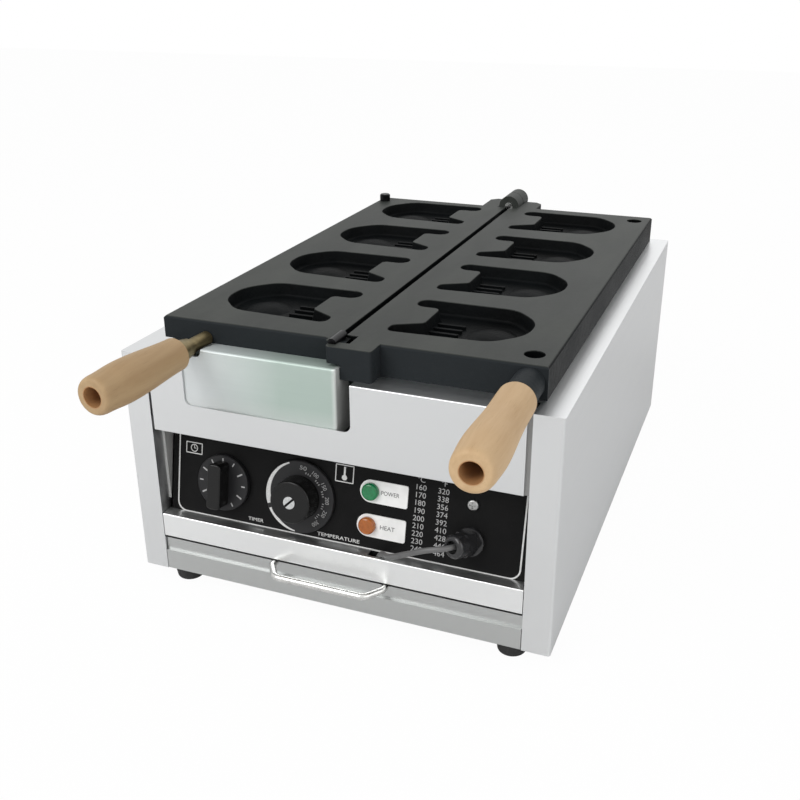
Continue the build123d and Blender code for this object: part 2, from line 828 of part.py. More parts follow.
def locating_pin():
    """The pin that stands on the lid's plate and enters the lower plate's hole."""
    pin = upright(-locating_x, rear_locating_y, plates_top - locating_pin_height,
                  plates_top + locating_pin_height, locating_pin_diameter)
    return chamfer(pin.edges().group_by(Axis.Z)[-1], locating_pin_bevel)


def front_hinge_pin():
    """The pin fixed in the lid's front knuckle that lies in the lower plate's saddle."""
    return along_y(0, axis_height, pocket_front - front_pin_bearing, front_knuckle_back, pin_diameter)


def rear_hinge_pin():
    """The pin through both rear knuckles, with a round head in front and a washer behind."""
    pin = along_y(0, axis_height, rear_barrel_front - pin_head_length, rear_pin_end, pin_diameter)
    pin += along_y(0, axis_height, rear_barrel_front - pin_head_length, rear_barrel_front, pin_head_diameter)
    return pin + along_y(0, axis_height, rear_barrel_back + knuckle_gap, rear_pin_end, washer_diameter)


# Heaters

def tube(x0, x1, y0, y1, z):
    """A hairpin heating tube with its ends turned down."""
    bend = (x1 - x0) / 2 - bend_slack
    low = z - tube_drop
    points = [(x0, y0, low), (x0, y0, z), (x0, y1, z), (x1, y1, z), (x1, y0, z), (x1, y0, low)]
    path = FilletPolyline(*points, radius=[tube_end_radius, bend, bend, tube_end_radius])
    return sweep(Plane(points[0], z_dir=(0, 0, 1)) * Circle(tube_diameter / 2), path=path)


def lower_heater():
    """The lower plate's heating tube."""
    z = deck_top - tube_diameter / 2 - tube_clearance
    front = plate_front + lower_cover_front
    return tube(lower_cover_left + tube_inset, lower_cover_right - tube_inset, front + tube_inset,
                front + lower_cover_length - tube_inset, z)


def upper_heater():
    """The lid's heating tube."""
    z = lid_bottom - tube_diameter / 2 - tube_clearance
    return tube(lid_cover_left + tube_inset, lid_cover_right - tube_inset, plate_front + tube_inset,
                lid_back - tube_inset, z)


def lower_stud_places():
    """The lower cover's studs."""
    front = plate_front + lower_cover_front
    return [(x, y) for x in (lower_cover_left + stud_inset, lower_cover_right - stud_inset)
            for y in (front + stud_inset, front + lower_cover_length - stud_inset)]


def lid_stud_places():
    """The lid cover's studs."""
    return [(x, y) for x in (lid_cover_left + stud_inset, lid_cover_right - stud_inset)
            for y in (plate_front + stud_inset, lid_back - stud_inset)]


def heater_cover(x0, x1, y0, y1, z0, z1, places):
    """A folded box under a plate, with holes for its studs."""
    outer = block(x0, x1, y0, y1, z0, z1)
    outer = fillet(outer.edges().filter_by(Axis.Z), fold_radius)
    outer = fillet(outer.edges().group_by(Axis.Z)[0], cover_edge_radius)
    wall = cover_wall
    inner = block(x0 + wall, x1 - wall, y0 + wall, y1 - wall, z0 + wall, z1 + wall)
    cover = outer - fillet(inner.edges().filter_by(Axis.Z), fold_radius - cover_wall)
    for x, y in places:
        cover -= upright(x, y, z0 - overrun, z0 + 2 * cover_wall, stud_diameter + stud_clearance)
    return cover


def lower_heater_cover():
    """The box round the lower heater."""
    front = plate_front + lower_cover_front
    return heater_cover(lower_cover_left, lower_cover_right, front, front + lower_cover_length,
                        lower_cover_bottom, deck_top, lower_stud_places())


def upper_heater_cover():
    """The box round the lid's heater, which hangs in the bay while the lid is open."""
    return heater_cover(lid_cover_left, lid_cover_right, plate_front, lid_back,
                        lid_cover_bottom, lid_bottom, lid_stud_places())


def cover_front_section(x0, x1, inset):
    """A length of the front box's side profile, its top sloping down to the plate's underside."""
    front = cover_front_y + inset
    low = cover_front_bottom + inset
    points = [(front, low), (front, cover_front_top - inset), (plate_front + inset, lid_bottom - inset),
              (plate_front + inset, low)]
    side = Plane(origin=(x0, 0, 0), x_dir=(0, 1, 0), z_dir=(1, 0, 0))
    profile = side * make_face(Polyline(*points, close=True))
    return extrude(profile, x1 - x0, dir=(1, 0, 0))


def upper_cover_front():
    """The folded box that fills the apron's notch, slotted round the handle's cone."""
    outer = cover_front_section(cover_front_left, cover_front_right, 0)
    front_edges = outer.edges().group_by(Axis.Y)[0]
    outer = fillet(front_edges, cover_edge_radius)
    wall = cover_wall
    box = outer - cover_front_section(cover_front_left + wall, cover_front_right - wall, wall)
    slot = block(cover_slot_left, cover_slot_right, cover_front_y - overrun, plate_front + overrun,
                 cover_slot_bottom, plates_top)
    return box - fillet(slot.edges().filter_by(Axis.Y).group_by(Axis.Z)[0], cover_slot_round)


def pad(x0, x1, y0, y1, z0, z1, ends):
    """A block of insulating wool with room for the tube's turned ends."""
    wool = block(x0 + pad_inset, x1 - pad_inset, y0 + pad_inset, y1 - pad_inset, z0, z1)
    for x, y in ends:
        wool -= block(x - tube_diameter, x + tube_diameter, y - 2 * tube_diameter, y + 1.5 * tube_diameter,
                      z1 - pad_end_depth, z1 + overrun)
    return wool


def lower_pad():
    """Wool under the lower heater."""
    front = plate_front + lower_cover_front
    ends = [(x, front + tube_inset) for x in (lower_cover_left + tube_inset, lower_cover_right - tube_inset)]
    return pad(lower_cover_left, lower_cover_right, front, front + lower_cover_length,
               lower_cover_bottom + cover_wall, deck_top - tube_diameter - 2 * tube_clearance, ends)


def upper_pad():
    """Wool behind the lid's heater."""
    y = plate_front + tube_inset
    ends = [(lid_cover_left + tube_inset, y), (lid_cover_right - tube_inset, y)]
    return pad(lid_cover_left, lid_cover_right, plate_front, lid_back,
               lid_cover_bottom + cover_wall, lid_bottom - tube_diameter - 2 * tube_clearance, ends)


def cover_studs(places, plate_bottom, cover_bottom):
    """Studs from a plate down through its cover, with nuts under it."""
    studs = []
    for x, y in places:
        stud = upright(x, y, cover_bottom - nut_height - stud_tail, plate_bottom + stud_grip, stud_diameter)
        stud += Pos(x, y, 0) * hexagon(nut_across_flats, cover_bottom - nut_height, cover_bottom)
        studs.append(stud)
    return group(studs)


def lid_rests():
    """Two blocks on the bay's floor that the lid's heater box comes down on."""
    top = lid_cover_bottom - rest_clearance
    left = lid_cover_left + rest_inset
    blocks = []
    for y in (plate_front + rest_from_end, lid_back - rest_from_end):
        y0 = y - rest_length / 2
        blocks.append(block(left, left + rest_width, y0, y0 + rest_length, bay_floor + sheet, top))
    return group(blocks)


# Handles

def handle_frame(x, start, toe):
    """A plane at the wood's near end, its normal along the handle away from the cabinet."""
    angle = radians(toe)
    return Plane(origin=(x, start, handle_height), x_dir=(0, 0, 1), z_dir=(-sin(angle), -cos(angle), 0))


def on_lid_handle(shape):
    """Place a piece of the lid's handle, drawn about the origin with +Z along the handle."""
    return handle_frame(lid_handle_x, lid_handle_start, lid_handle_toe) * shape


def on_lower_handle(shape):
    """Place a piece of the lower handle, drawn about the origin with +Z along the handle."""
    return handle_frame(lower_handle_x, lower_handle_start, lower_handle_toe) * shape


def rod_stud(face):
    """The rod's threaded end in its plate, behind the face that the rod meets."""
    return disc(rod_stud_diameter, -face - rod_stud_length, overrun - face)


def handle_rod(face):
    """The rod from its plate's face into the wood."""
    body = disc(rod_diameter, -face, rod_overlap) + rod_stud(face)
    tapped = rod_overlap - handle_screw_grip - overrun
    return body - disc(handle_screw_diameter, tapped, rod_overlap + overrun)


def upper_handle_rod():
    """The lid handle's rod, with a cone that widens from the plate to the wood."""
    cone = Cone(cone_near_diameter / 2, cone_far_diameter / 2, cone_length,
                align=(Align.CENTER, Align.CENTER, Align.MAX))
    return handle_rod(lid_rod_face) + cone


def lower_handle_rod():
    """The lower handle's rod, with a ferrule between the boss and the wood."""
    return handle_rod(lower_rod_face) + disc(ferrule_diameter, -lower_rod_face, 0)


def wood(length, near_diameter, far_diameter, swell):
    """A turned wooden grip, bored for the rod and for the screw's head."""
    near = near_diameter / 2
    far = far_diameter / 2
    tip = wood_tip_diameter / 2
    places = [(near, wood_near_bevel), (near + swell, length * wood_swell_place),
              (far, length - wood_far_inset), (far - wood_round_fall, length - wood_round_inset),
              (tip, length)]
    with BuildSketch(Plane.XZ) as profile:
        with BuildLine():
            Polyline((0, 0), (near - wood_near_bevel, 0), places[0])
            Spline(*places, tangents=[(0.02, 1), (-1, 0.12)])
            Polyline((tip, length), (0, length), (0, 0))
        make_face()
    body = revolve(profile.sketch, Axis.Z)
    body -= disc(rod_diameter, -overrun, rod_overlap)
    body -= disc(handle_screw_diameter + stud_clearance, rod_overlap - overrun, length)
    return body - disc(wood_bore_diameter, length - wood_bore_depth, length + overrun)


def upper_wood():
    """The lid handle's grip."""
    return wood(upper_wood_length, upper_wood_near, upper_wood_far, upper_wood_swell)


def lower_wood():
    """The lower handle's grip."""
    return wood(lower_wood_length, lower_wood_near, lower_wood_far, lower_wood_swell)


def handle_screw(length):
    """The screw at the bottom of the grip's bore."""
    seat = length - wood_bore_depth
    top = seat + handle_screw_head_height
    socket = extrude(RegularPolygon(handle_screw_socket / 2, 6), handle_screw_socket_depth + overrun)
    head = disc(handle_screw_head, seat, top) - Pos(0, 0, top - handle_screw_socket_depth) * socket
    return head + disc(handle_screw_diameter, rod_overlap - handle_screw_grip, seat)


# Control panel and what it carries

def control_panel():
    """The tilted black plate, with holes for its controls."""
    width = cabinet_width - 2 * flange_width - 2 * (sheet + panel_side_gap)
    panel = Box(width, panel_height + panel_foot, panel_thickness)
    panel = Pos(0, (panel_height - panel_foot) / 2, -panel_thickness / 2) * panel
    for u, v, diameter in panel_holes():
        panel -= Pos(u, v, 0) * disc(diameter, -2 * panel_thickness, overrun)
    return panel_plane * panel


def panel_holes():
    """Places and diameters of the holes in the panel."""
    shaft_hole = shaft_diameter + 2 * shaft_hole_clearance
    holes = [(timer_u, timer_v, shaft_hole), (thermostat_u, thermostat_v, shaft_hole),
             (power_lamp_u, power_lamp_v, lamp_barrel_diameter),
             (heat_lamp_u, heat_lamp_v, lamp_barrel_diameter),
             (gland_u, gland_v, gland_hole), (panel_screw_u, panel_screw_v, screw_diameter)]
    return holes


def panel_screw():
    """A pan-head screw in the panel, with its nut behind it."""
    top = panel_screw_head_height
    head = disc(panel_screw_head, 0, top)
    head = fillet(head.edges().group_by(Axis.Z)[-1], panel_screw_round)
    screw = head + disc(screw_diameter, -screw_length, 0)
    screw += hexagon(screw_nut_flats, -panel_thickness - screw_nut_height, -panel_thickness)
    for turn in (0, 90):
        screw -= Rot(0, 0, turn) * Pos(0, 0, top) * Box(cross_length, cross_width, 2 * cross_depth)
    return on_panel(panel_screw_u, panel_screw_v, screw)


def shaft_and_dial(dial_diameter, dial_thickness):
    """A dial with the shaft that turns in its control's body."""
    dial = disc(dial_diameter, dial_gap, dial_gap + dial_thickness)
    dial = chamfer(dial.edges().group_by(Axis.Z)[-1], dial_bevel)
    return dial + disc(shaft_diameter, -panel_thickness - shaft_depth, dial_gap)


def timer_knob():
    """The timer's dial with a bar grip across it."""
    top = dial_gap + timer_dial_thickness
    knob = shaft_and_dial(timer_dial_diameter, timer_dial_thickness)
    grip = Box(timer_grip_width, timer_grip_length, timer_grip_height)
    grip = Pos(0, 0, top + timer_grip_height / 2) * grip
    grip = fillet(grip.edges().filter_by(Axis.Z), (timer_grip_width - timer_grip_flat) / 2)
    grip = fillet(grip.edges().group_by(Axis.Z)[-1], timer_grip_round)
    return on_panel(timer_u, timer_v, knob + grip)


def thermostat_knob():
    """The thermostat's broad dial with a round grip and a slotted cap."""
    top = dial_gap + thermostat_dial_thickness
    knob = shaft_and_dial(thermostat_dial_diameter, thermostat_dial_thickness)
    radius = thermostat_knob_diameter / 2
    grip = Pos(0, 0, top) * Cone(radius, radius - thermostat_knob_taper, thermostat_knob_height,
                                 align=(Align.CENTER, Align.CENTER, Align.MIN))
    grip = fillet(grip.edges().group_by(Axis.Z)[-1], knob_round)
    end = top + thermostat_knob_height
    knob = knob + grip - disc(cap_diameter, end - cap_sink, end + overrun)
    return on_panel(thermostat_u, thermostat_v, knob)


def thermostat_cap():
    """The pale slotted cap in the thermostat's knob."""
    low = dial_gap + thermostat_dial_thickness + thermostat_knob_height - cap_sink
    high = low + cap_height
    slot = Pos(0, 0, high) * Rot(0, 0, 45) * Box(2 * cap_diameter, slot_width, 2 * slot_depth)
    return on_panel(thermostat_u, thermostat_v, disc(cap_diameter, low, high) - slot)


def control_body(u, v, size, depth):
    """The body of a control behind the panel, bored for its shaft."""
    body = Pos(0, 0, -panel_thickness - depth / 2) * Box(size, size, depth)
    body = fillet(body.edges().filter_by(Axis.Z), body_round)
    body -= disc(shaft_diameter + 2 * running_clearance, -panel_thickness - shaft_depth - overrun, 0)
    for x in (-size / 4, size / 4):
        tab = Box(tab_thickness, tab_width, tab_length)
        body += Pos(x, 0, -panel_thickness - depth - tab_length / 2) * tab
    return on_panel(u, v, body)


def lamp(u, v):
    """A round lens whose barrel passes through the panel."""
    lens = disc(lamp_diameter, label_thickness, label_thickness + lens_height)
    lens = fillet(lens.edges().group_by(Axis.Z)[-1], lens_round)
    barrel = disc(lamp_barrel_diameter, -lamp_barrel_length, label_thickness)
    return on_panel(u, v, lens + barrel)


def lamp_label(u, v):
    """The pale tile that a lamp's lens is set in, round about the lens and square at its other end."""
    tile = Box(label_right - u, label_height, label_thickness)
    tile = fillet(tile.edges().filter_by(Axis.Z).group_by(Axis.X)[-1], label_corner)
    tile = Pos((u + label_right) / 2, v, label_thickness / 2) * tile
    tile += Pos(u, v, 0) * disc(label_height, 0, label_thickness)
    barrel = disc(lamp_barrel_diameter, -overrun, label_thickness + overrun)
    return panel_plane * (tile - Pos(u, v, 0) * barrel)


def panel_gland():
    """The gland on the panel: a base, then a nut and a round cap that lean to the left, open for the lead."""
    gland = disc(gland_base_diameter, 0, gland_base_height)
    cap = disc(gland_cap_diameter, gland_nut_height, gland_nut_height + gland_cap_height)
    cap = fillet(cap.edges().group_by(Axis.Z)[-1], gland_cap_round)
    top = gland_nut_height + gland_cap_height
    leaning = hexagon(gland_nut_flats, 0, gland_nut_height) + cap
    leaning -= disc(gland_mouth_diameter, top - gland_mouth_depth, top + overrun)
    ball = Sphere(gland_ball_diameter / 2) & disc(gland_base_diameter, 0, gland_base_diameter)
    gland += Pos(0, 0, gland_base_height) * (ball + Rot(0, -gland_lean, 0) * leaning)
    gland += disc(gland_hole, -panel_thickness - gland_thread_length, 0)
    gland += hexagon(gland_lock_flats, -panel_thickness - gland_lock_height, -panel_thickness)
    return on_panel(gland_u, gland_v, gland)


def panel_lead():
    """The thin lead from the gland's mouth to the notch in the ledge, along its whole free length."""
    lean = radians(gland_lean)
    reach = gland_nut_height + gland_cap_height - gland_mouth_depth
    middle = Vector(gland_u - reach * sin(lean), gland_v, gland_base_height + reach * cos(lean))
    start = panel_plane.from_local_coords(middle)
    out = panel_plane.from_local_coords(middle + Vector(-sin(lean), 0, cos(lean))) - start
    points = [start, start + out * lead_straight] + [Vector(*place) for place in lead_route]
    runs = [points[index + 1] - points[index] for index in range(len(points) - 1)]
    radii = []
    for first, second in zip(runs, runs[1:]):
        turn = radians(first.get_angle(second))
        radii.append(lead_curve * min(first.length, second.length) / tan(turn / 2))
    path = FilletPolyline(*points, radius=radii)
    return sweep(Plane(points[0], z_dir=out) * Circle(lead_diameter / 2), path=path)


def terminal_block():
    """Mains terminals on the shelf."""
    low = ledge_bottom + sheet
    high = low + terminal_height
    front = back_inner - terminal_from_back
    left = inlet_x - terminal_width / 2
    body = block(left, left + terminal_width, front, front + terminal_depth, low, high)
    for index in range(terminal_count):
        x = inlet_x + (index - (terminal_count - 1) / 2) * terminal_width / terminal_count
        y = front + terminal_depth / 2
        body -= upright(x, y, high - terminal_screw_depth, high + overrun, terminal_screw)
    return body


def relay():
    """The relay that switches the heaters."""
    low = ledge_bottom + sheet
    back = relay_front + relay_depth
    body = block(-relay_width / 2, relay_width / 2, relay_front, back, low, low + relay_height)
    return fillet(body.edges().filter_by(Axis.Z), relay_round)


def rear_inlet():
    """The mains lead's gland in the back panel."""
    flange = cabinet_depth + inlet_flange_thickness
    gland = along_y(inlet_x, inlet_z, cabinet_depth, flange, inlet_flange_diameter)
    gland += along_y(inlet_x, inlet_z, flange, flange + inlet_nut_length, inlet_nut_diameter)
    gland += along_y(inlet_x, inlet_z, back_inner - inlet_thread_length, cabinet_depth, inlet_hole)
    gland += along_y(inlet_x, inlet_z, back_inner - inlet_lock_length, back_inner, inlet_flange_diameter)
    front = back_inner - inlet_thread_length - overrun
    return gland - along_y(inlet_x, inlet_z, front, flange + inlet_nut_length + overrun, inlet_bore)


def temperature_bulb():
    """The thermostat's bulb, clipped under the lower plate."""
    x = (lower_cover_left + lower_cover_right) / 2
    z = deck_top - bulb_diameter / 2 - tube_clearance
    return along_y(x, z, bulb_front, bulb_front + bulb_length, bulb_diameter)


def main():
    """Draw every piece and write its file."""
    os.makedirs("parts", exist_ok=True)
    write("left_side_panel", side_panel(-1))
    write("right_side_panel", side_panel(1))
    write("back_panel", back_panel())
    write("base_plate", base_plate())
    write("inner_floor", inner_floor())
    write("front_ledge", front_ledge())
    write("front_apron", front_apron())
    write("apron_strips", apron_strips())
    write("panel_cheeks", panel_cheeks())
    write("lid_bay", lid_bay())
    write("right_deck", right_deck())
    write("plate_bolts", plate_bolts())
    write("feet", feet())
    write("foot_screws", foot_screws())
    write("crumb_drawer", crumb_drawer())
    write("drawer_runners", drawer_runners())
    write("drawer_pull", drawer_pull())
    write("lower_plate", lower_plate())
    write("upper_plate", upper_plate())
    write("locating_pin", locating_pin())
    write("front_hinge_pin", front_hinge_pin())
    write("rear_hinge_pin", rear_hinge_pin())
    write("lower_heater", lower_heater())
    write("upper_heater", upper_heater())
    write("lower_heater_cover", lower_heater_cover())
    write("upper_heater_cover", upper_heater_cover())
    write("lower_wool_pad", lower_pad())
    write("upper_wool_pad", upper_pad())
    write("lower_cover_studs", cover_studs(lower_stud_places(), deck_top, lower_cover_bottom))
    write("upper_cover_studs", cover_studs(lid_stud_places(), lid_bottom, lid_cover_bottom))
    write("lid_rests", lid_rests())
    write("upper_cover_front", upper_cover_front())
    write("upper_handle_rod", on_lid_handle(upper_handle_rod()))
    write("upper_handle_grip", on_lid_handle(upper_wood()))
    write("upper_handle_screw", on_lid_handle(handle_screw(upper_wood_length)))
    write("lower_handle_rod", on_lower_handle(lower_handle_rod()))
    write("lower_handle_grip", on_lower_handle(lower_wood()))
    write("lower_handle_screw", on_lower_handle(handle_screw(lower_wood_length)))
    write("control_panel", control_panel())
    write("panel_screw", panel_screw())
    write("timer_knob", timer_knob())
    write("thermostat_knob", thermostat_knob())
    write("thermostat_cap", thermostat_cap())
    write("timer_body", control_body(timer_u, timer_v, timer_body_size, timer_body_depth))
    body = control_body(thermostat_u, thermostat_v, thermostat_body_size, thermostat_body_depth)
    write("thermostat_body", body)
    write("power_lamp", lamp(power_lamp_u, power_lamp_v))
    write("heat_lamp", lamp(heat_lamp_u, heat_lamp_v))
    write("power_label", lamp_label(power_lamp_u, power_lamp_v))
    write("heat_label", lamp_label(heat_lamp_u, heat_lamp_v))
    write("panel_gland", panel_gland())
    write("panel_lead", panel_lead())
    write("terminal_block", terminal_block())
    write("heater_relay", relay())
    write("rear_inlet", rear_inlet())
    write("temperature_bulb", temperature_bulb())


main()
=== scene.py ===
"""Countertop cooker with a hinged lid: finishes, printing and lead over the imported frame. Metres, +Z up."""
import math

import bpy
from mathutils import Euler, Matrix, Vector


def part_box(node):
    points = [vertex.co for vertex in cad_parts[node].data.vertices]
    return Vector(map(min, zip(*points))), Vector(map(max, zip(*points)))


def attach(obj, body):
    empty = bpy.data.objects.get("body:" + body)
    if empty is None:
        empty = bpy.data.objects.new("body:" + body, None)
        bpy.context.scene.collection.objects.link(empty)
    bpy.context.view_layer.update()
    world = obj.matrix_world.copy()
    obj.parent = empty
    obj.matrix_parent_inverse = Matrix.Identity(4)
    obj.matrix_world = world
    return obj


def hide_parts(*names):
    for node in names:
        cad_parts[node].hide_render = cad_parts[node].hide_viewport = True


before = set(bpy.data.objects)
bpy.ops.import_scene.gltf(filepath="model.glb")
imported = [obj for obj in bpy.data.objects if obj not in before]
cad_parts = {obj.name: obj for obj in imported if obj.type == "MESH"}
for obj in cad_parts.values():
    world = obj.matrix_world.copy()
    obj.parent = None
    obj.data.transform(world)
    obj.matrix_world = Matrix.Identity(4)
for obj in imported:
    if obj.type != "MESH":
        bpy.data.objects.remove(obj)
bpy.ops.object.select_all(action="DESELECT")
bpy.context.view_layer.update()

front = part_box("left_side_panel")[0].y
plate_face = 0.2104
tilt = math.radians(12.0)


def at(x, y, z):
    """Millimetres from the middle of the cabinet's front, at table height, as a point of the frame."""
    return Vector((x / 1000, y / 1000 + front, z / 1000))


panel_foot = at(0, 10.4, 60)
panel_normal = Vector((0.0, -math.cos(tilt), math.sin(tilt)))
lead_diameter = 0.004


# Camera and lead

def set_camera():
    """Stand where the photograph was taken."""
    lens = bpy.data.cameras.new("photograph")
    lens.lens = 44.83
    lens.sensor_width = 36.0
    lens.clip_start = 0.01
    camera = bpy.data.objects.new("photograph", lens)
    camera.location = at(267.26, -539.87, 439.72)
    camera.rotation_euler = Euler([math.radians(angle) for angle in (66.202, 0.269, 21.535)])
    bpy.context.scene.collection.objects.link(camera)
    bpy.context.scene.camera = camera


def hang_lead():
    """The thin lead from the gland's mouth down to the notch in the ledge."""
    route = [at(92.506, -0.671, 83.822), at(88.702, -8.649, 85.518), at(76.0, -11.0, 83.4),
             at(60.0, -8.0, 74.6), at(45.0, -3.2, 65.6), at(35.5, 4.8, 63.2), at(32.5, 7.0, 54.5)]
    curve = bpy.data.curves.new("panel_lead_sleeve", "CURVE")
    curve.dimensions = "3D"
    curve.bevel_depth = 1.0
    curve.bevel_resolution = 5
    curve.resolution_u = 24
    curve.use_fill_caps = True
    line = curve.splines.new("NURBS")
    line.points.add(len(route) - 1)
    for point, place in zip(line.points, route):
        point.co = (*place, 1.0)
        point.radius = lead_diameter / 2
    line.order_u = 3
    line.use_endpoint_u = True
    lead = bpy.data.objects.new("panel_lead_sleeve", curve)
    bpy.context.scene.collection.objects.link(lead)
    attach(lead, "cabinet")
    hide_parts("panel_lead")
    return lead


set_camera()
lead = hang_lead()


# Finishes

def finish(name, colour, roughness, metallic=0.0):
    """A material with its even values set on the shader, for the uneven ones to be joined to."""
    material = bpy.data.materials.new(name)
    material.use_nodes = True
    shader = material.node_tree.nodes["Principled BSDF"]
    shader.inputs["Base Color"].default_value = (*colour, 1.0)
    shader.inputs["Roughness"].default_value = roughness
    shader.inputs["Metallic"].default_value = metallic
    return material, shader


def node(material, kind, **values):
    """Add a node and set its sockets by name."""
    made = material.node_tree.nodes.new(kind)
    for name, value in values.items():
        made.inputs[name.replace("_", " ")].default_value = value
    return made


def join(material, source, target):
    """Link one socket to another."""
    material.node_tree.links.new(source, target)


def coordinates(material, stretch=(1.0, 1.0, 1.0), turn=(0.0, 0.0, 0.0), place=(0.0, 0.0, 0.0)):
    """The piece's own coordinates in metres, stretched or turned."""
    source = node(material, "ShaderNodeTexCoord")
    mapping = node(material, "ShaderNodeMapping", Location=place, Rotation=turn, Scale=stretch)
    join(material, source.outputs["Object"], mapping.inputs["Vector"])
    return mapping.outputs["Vector"]


def noise(material, vector, scale, detail=3.0, roughness=0.5):
    """Noise over a vector."""
    texture = node(material, "ShaderNodeTexNoise", Scale=scale, Detail=detail, Roughness=roughness)
    join(material, vector, texture.inputs["Vector"])
    return texture.outputs["Fac"]


def between(material, value, low, high, start=0.0, end=1.0):
    """Map a value from start..end to low..high."""
    ranged = node(material, "ShaderNodeMapRange")
    for socket, number in zip(("From Min", "From Max", "To Min", "To Max"), (start, end, low, high)):
        ranged.inputs[socket].default_value = number
    join(material, value, ranged.inputs["Value"])
    return ranged.outputs["Result"]


def blended(material, value, first, second):
    """Blend two colours, each given as numbers or as a socket, by a value."""
    blend = node(material, "ShaderNodeMix")
    blend.data_type = "RGBA"
    colours = [socket for socket in blend.inputs if socket.type == "RGBA"]
    for socket, colour in zip(colours, (first, second)):
        if isinstance(colour, tuple):
            socket.default_value = (*colour, 1.0)
        else:
            join(material, colour, socket)
    join(material, value, blend.inputs["Factor"])
    return [socket for socket in blend.outputs if socket.type == "RGBA"][0]


def mottled(material, value, first, second, start=0.3, end=0.7):
    """Blend two colours by the middle of a noise's range."""
    return blended(material, between(material, value, 0, 1, start, end), first, second)


def shaded(colour, share):
    """A share of a colour."""
    return tuple(share * part for part in colour)


def parts_of(material, vector):
    """The X, Y and Z of a vector."""
    parts = node(material, "ShaderNodeSeparateXYZ")
    join(material, vector, parts.inputs["Vector"])
    return parts.outputs


def bump(material, shader, height, depth, strength=1.0):
    """Raise the surface by a height map."""
    relief = node(material, "ShaderNodeBump", Strength=strength, Distance=depth)
    join(material, height, relief.inputs["Height"])
    join(material, relief.outputs["Normal"], shader.inputs["Normal"])


def calculated(material, operation, first, second):
    """The result of an operation on two values."""
    result = node(material, "ShaderNodeMath")
    result.operation = operation
    join(material, first, result.inputs[0])
    join(material, second, result.inputs[1])
    return result.outputs["Value"]


def added(material, first, second):
    """Two values added."""
    return calculated(material, "ADD", first, second)


def times(material, first, second):
    """Two values multiplied."""
    return calculated(material, "MULTIPLY", first, second)


def brushed_sheet(name, colour, grain, roughness=0.34, contrast=0.05, metallic=1.0):
    """Satin sheet steel: fine grain one way, broad handling marks and a faint dulling."""
    material, shader = finish(name, colour, roughness, metallic)
    fine = noise(material, coordinates(material, grain), 1.0, 2.0)
    broad = noise(material, coordinates(material), 9.0, 4.0, 0.6)
    smear = noise(material, coordinates(material, (3.0, 3.0, 14.0)), 1.6, 3.0, 0.55)
    shade = added(material, between(material, fine, -contrast, contrast), between(material, broad, 0.4, 0.6))
    join(material, blended(material, shade, shaded(colour, 0.89), colour), shader.inputs["Base Color"])
    grained = between(material, fine, roughness - 0.07, roughness + 0.07)
    worn = added(material, grained, between(material, smear, -0.05, 0.07))
    join(material, worn, shader.inputs["Roughness"])
    bump(material, shader, fine, 0.00004, 0.6)
    return material


def bright_steel(name, colour=(0.78, 0.78, 0.77), roughness=0.2):
    """Turned or drawn steel with fine scratches."""
    material, shader = finish(name, colour, roughness, 1.0)
    scratches = noise(material, coordinates(material, (900.0, 300.0, 900.0)), 1.0, 2.0)
    join(material, between(material, scratches, roughness - 0.07, roughness + 0.12), shader.inputs["Roughness"])
    spots = noise(material, coordinates(material), 260.0, 4.0, 0.6)
    spotted = mottled(material, spots, shaded(colour, 0.8), colour, 0.35, 0.6)
    join(material, spotted, shader.inputs["Base Color"])
    bump(material, shader, scratches, 0.00002, 0.4)
    return material


def heater_box_sheet(name):
    """Satin sheet with a soft green cast that fades out towards its left end; a painted highlight pales its
    right-hand fold and side, and painted light pales its lower part.
    """
    material, shader = finish(name, (0.5, 0.55, 0.52), 0.45, 0.35)
    vector = coordinates(material)
    place = parts_of(material, vector)
    drift = between(material, noise(material, vector, 11.0, 4.0, 0.6), -0.25, 0.25)
    rise = added(material, between(material, place["X"], 0.0, 1.0, -0.1, -0.035), drift)
    green = blended(material, rise, (0.68, 0.715, 0.725), (0.41, 0.50, 0.455))
    # Painted highlight: the right-hand fold and side wall are paled to stand for the light they catch.
    fold_highlight = between(material, place["X"], 0.0, 1.0, 0.0035, 0.0075)
    # Painted light: the lower part is paled towards grey to offset the shade of the recess it stands in.
    low = between(material, place["Z"], 0.6, 0.0, 0.148, 0.166)
    pale = blended(material, fold_highlight, green, (0.70, 0.71, 0.70))
    pale = blended(material, low, pale, (0.62, 0.64, 0.63))
    fine = noise(material, coordinates(material, (10.0, 500.0, 500.0)), 1.0, 2.0)
    grained = blended(material, between(material, fine, 0.0, 0.08), pale, (0.3, 0.32, 0.31))
    join(material, grained, shader.inputs["Base Color"])
    join(material, between(material, fine, 0.4, 0.52), shader.inputs["Roughness"])
    bump(material, shader, fine, 0.00004, 0.5)
    return material


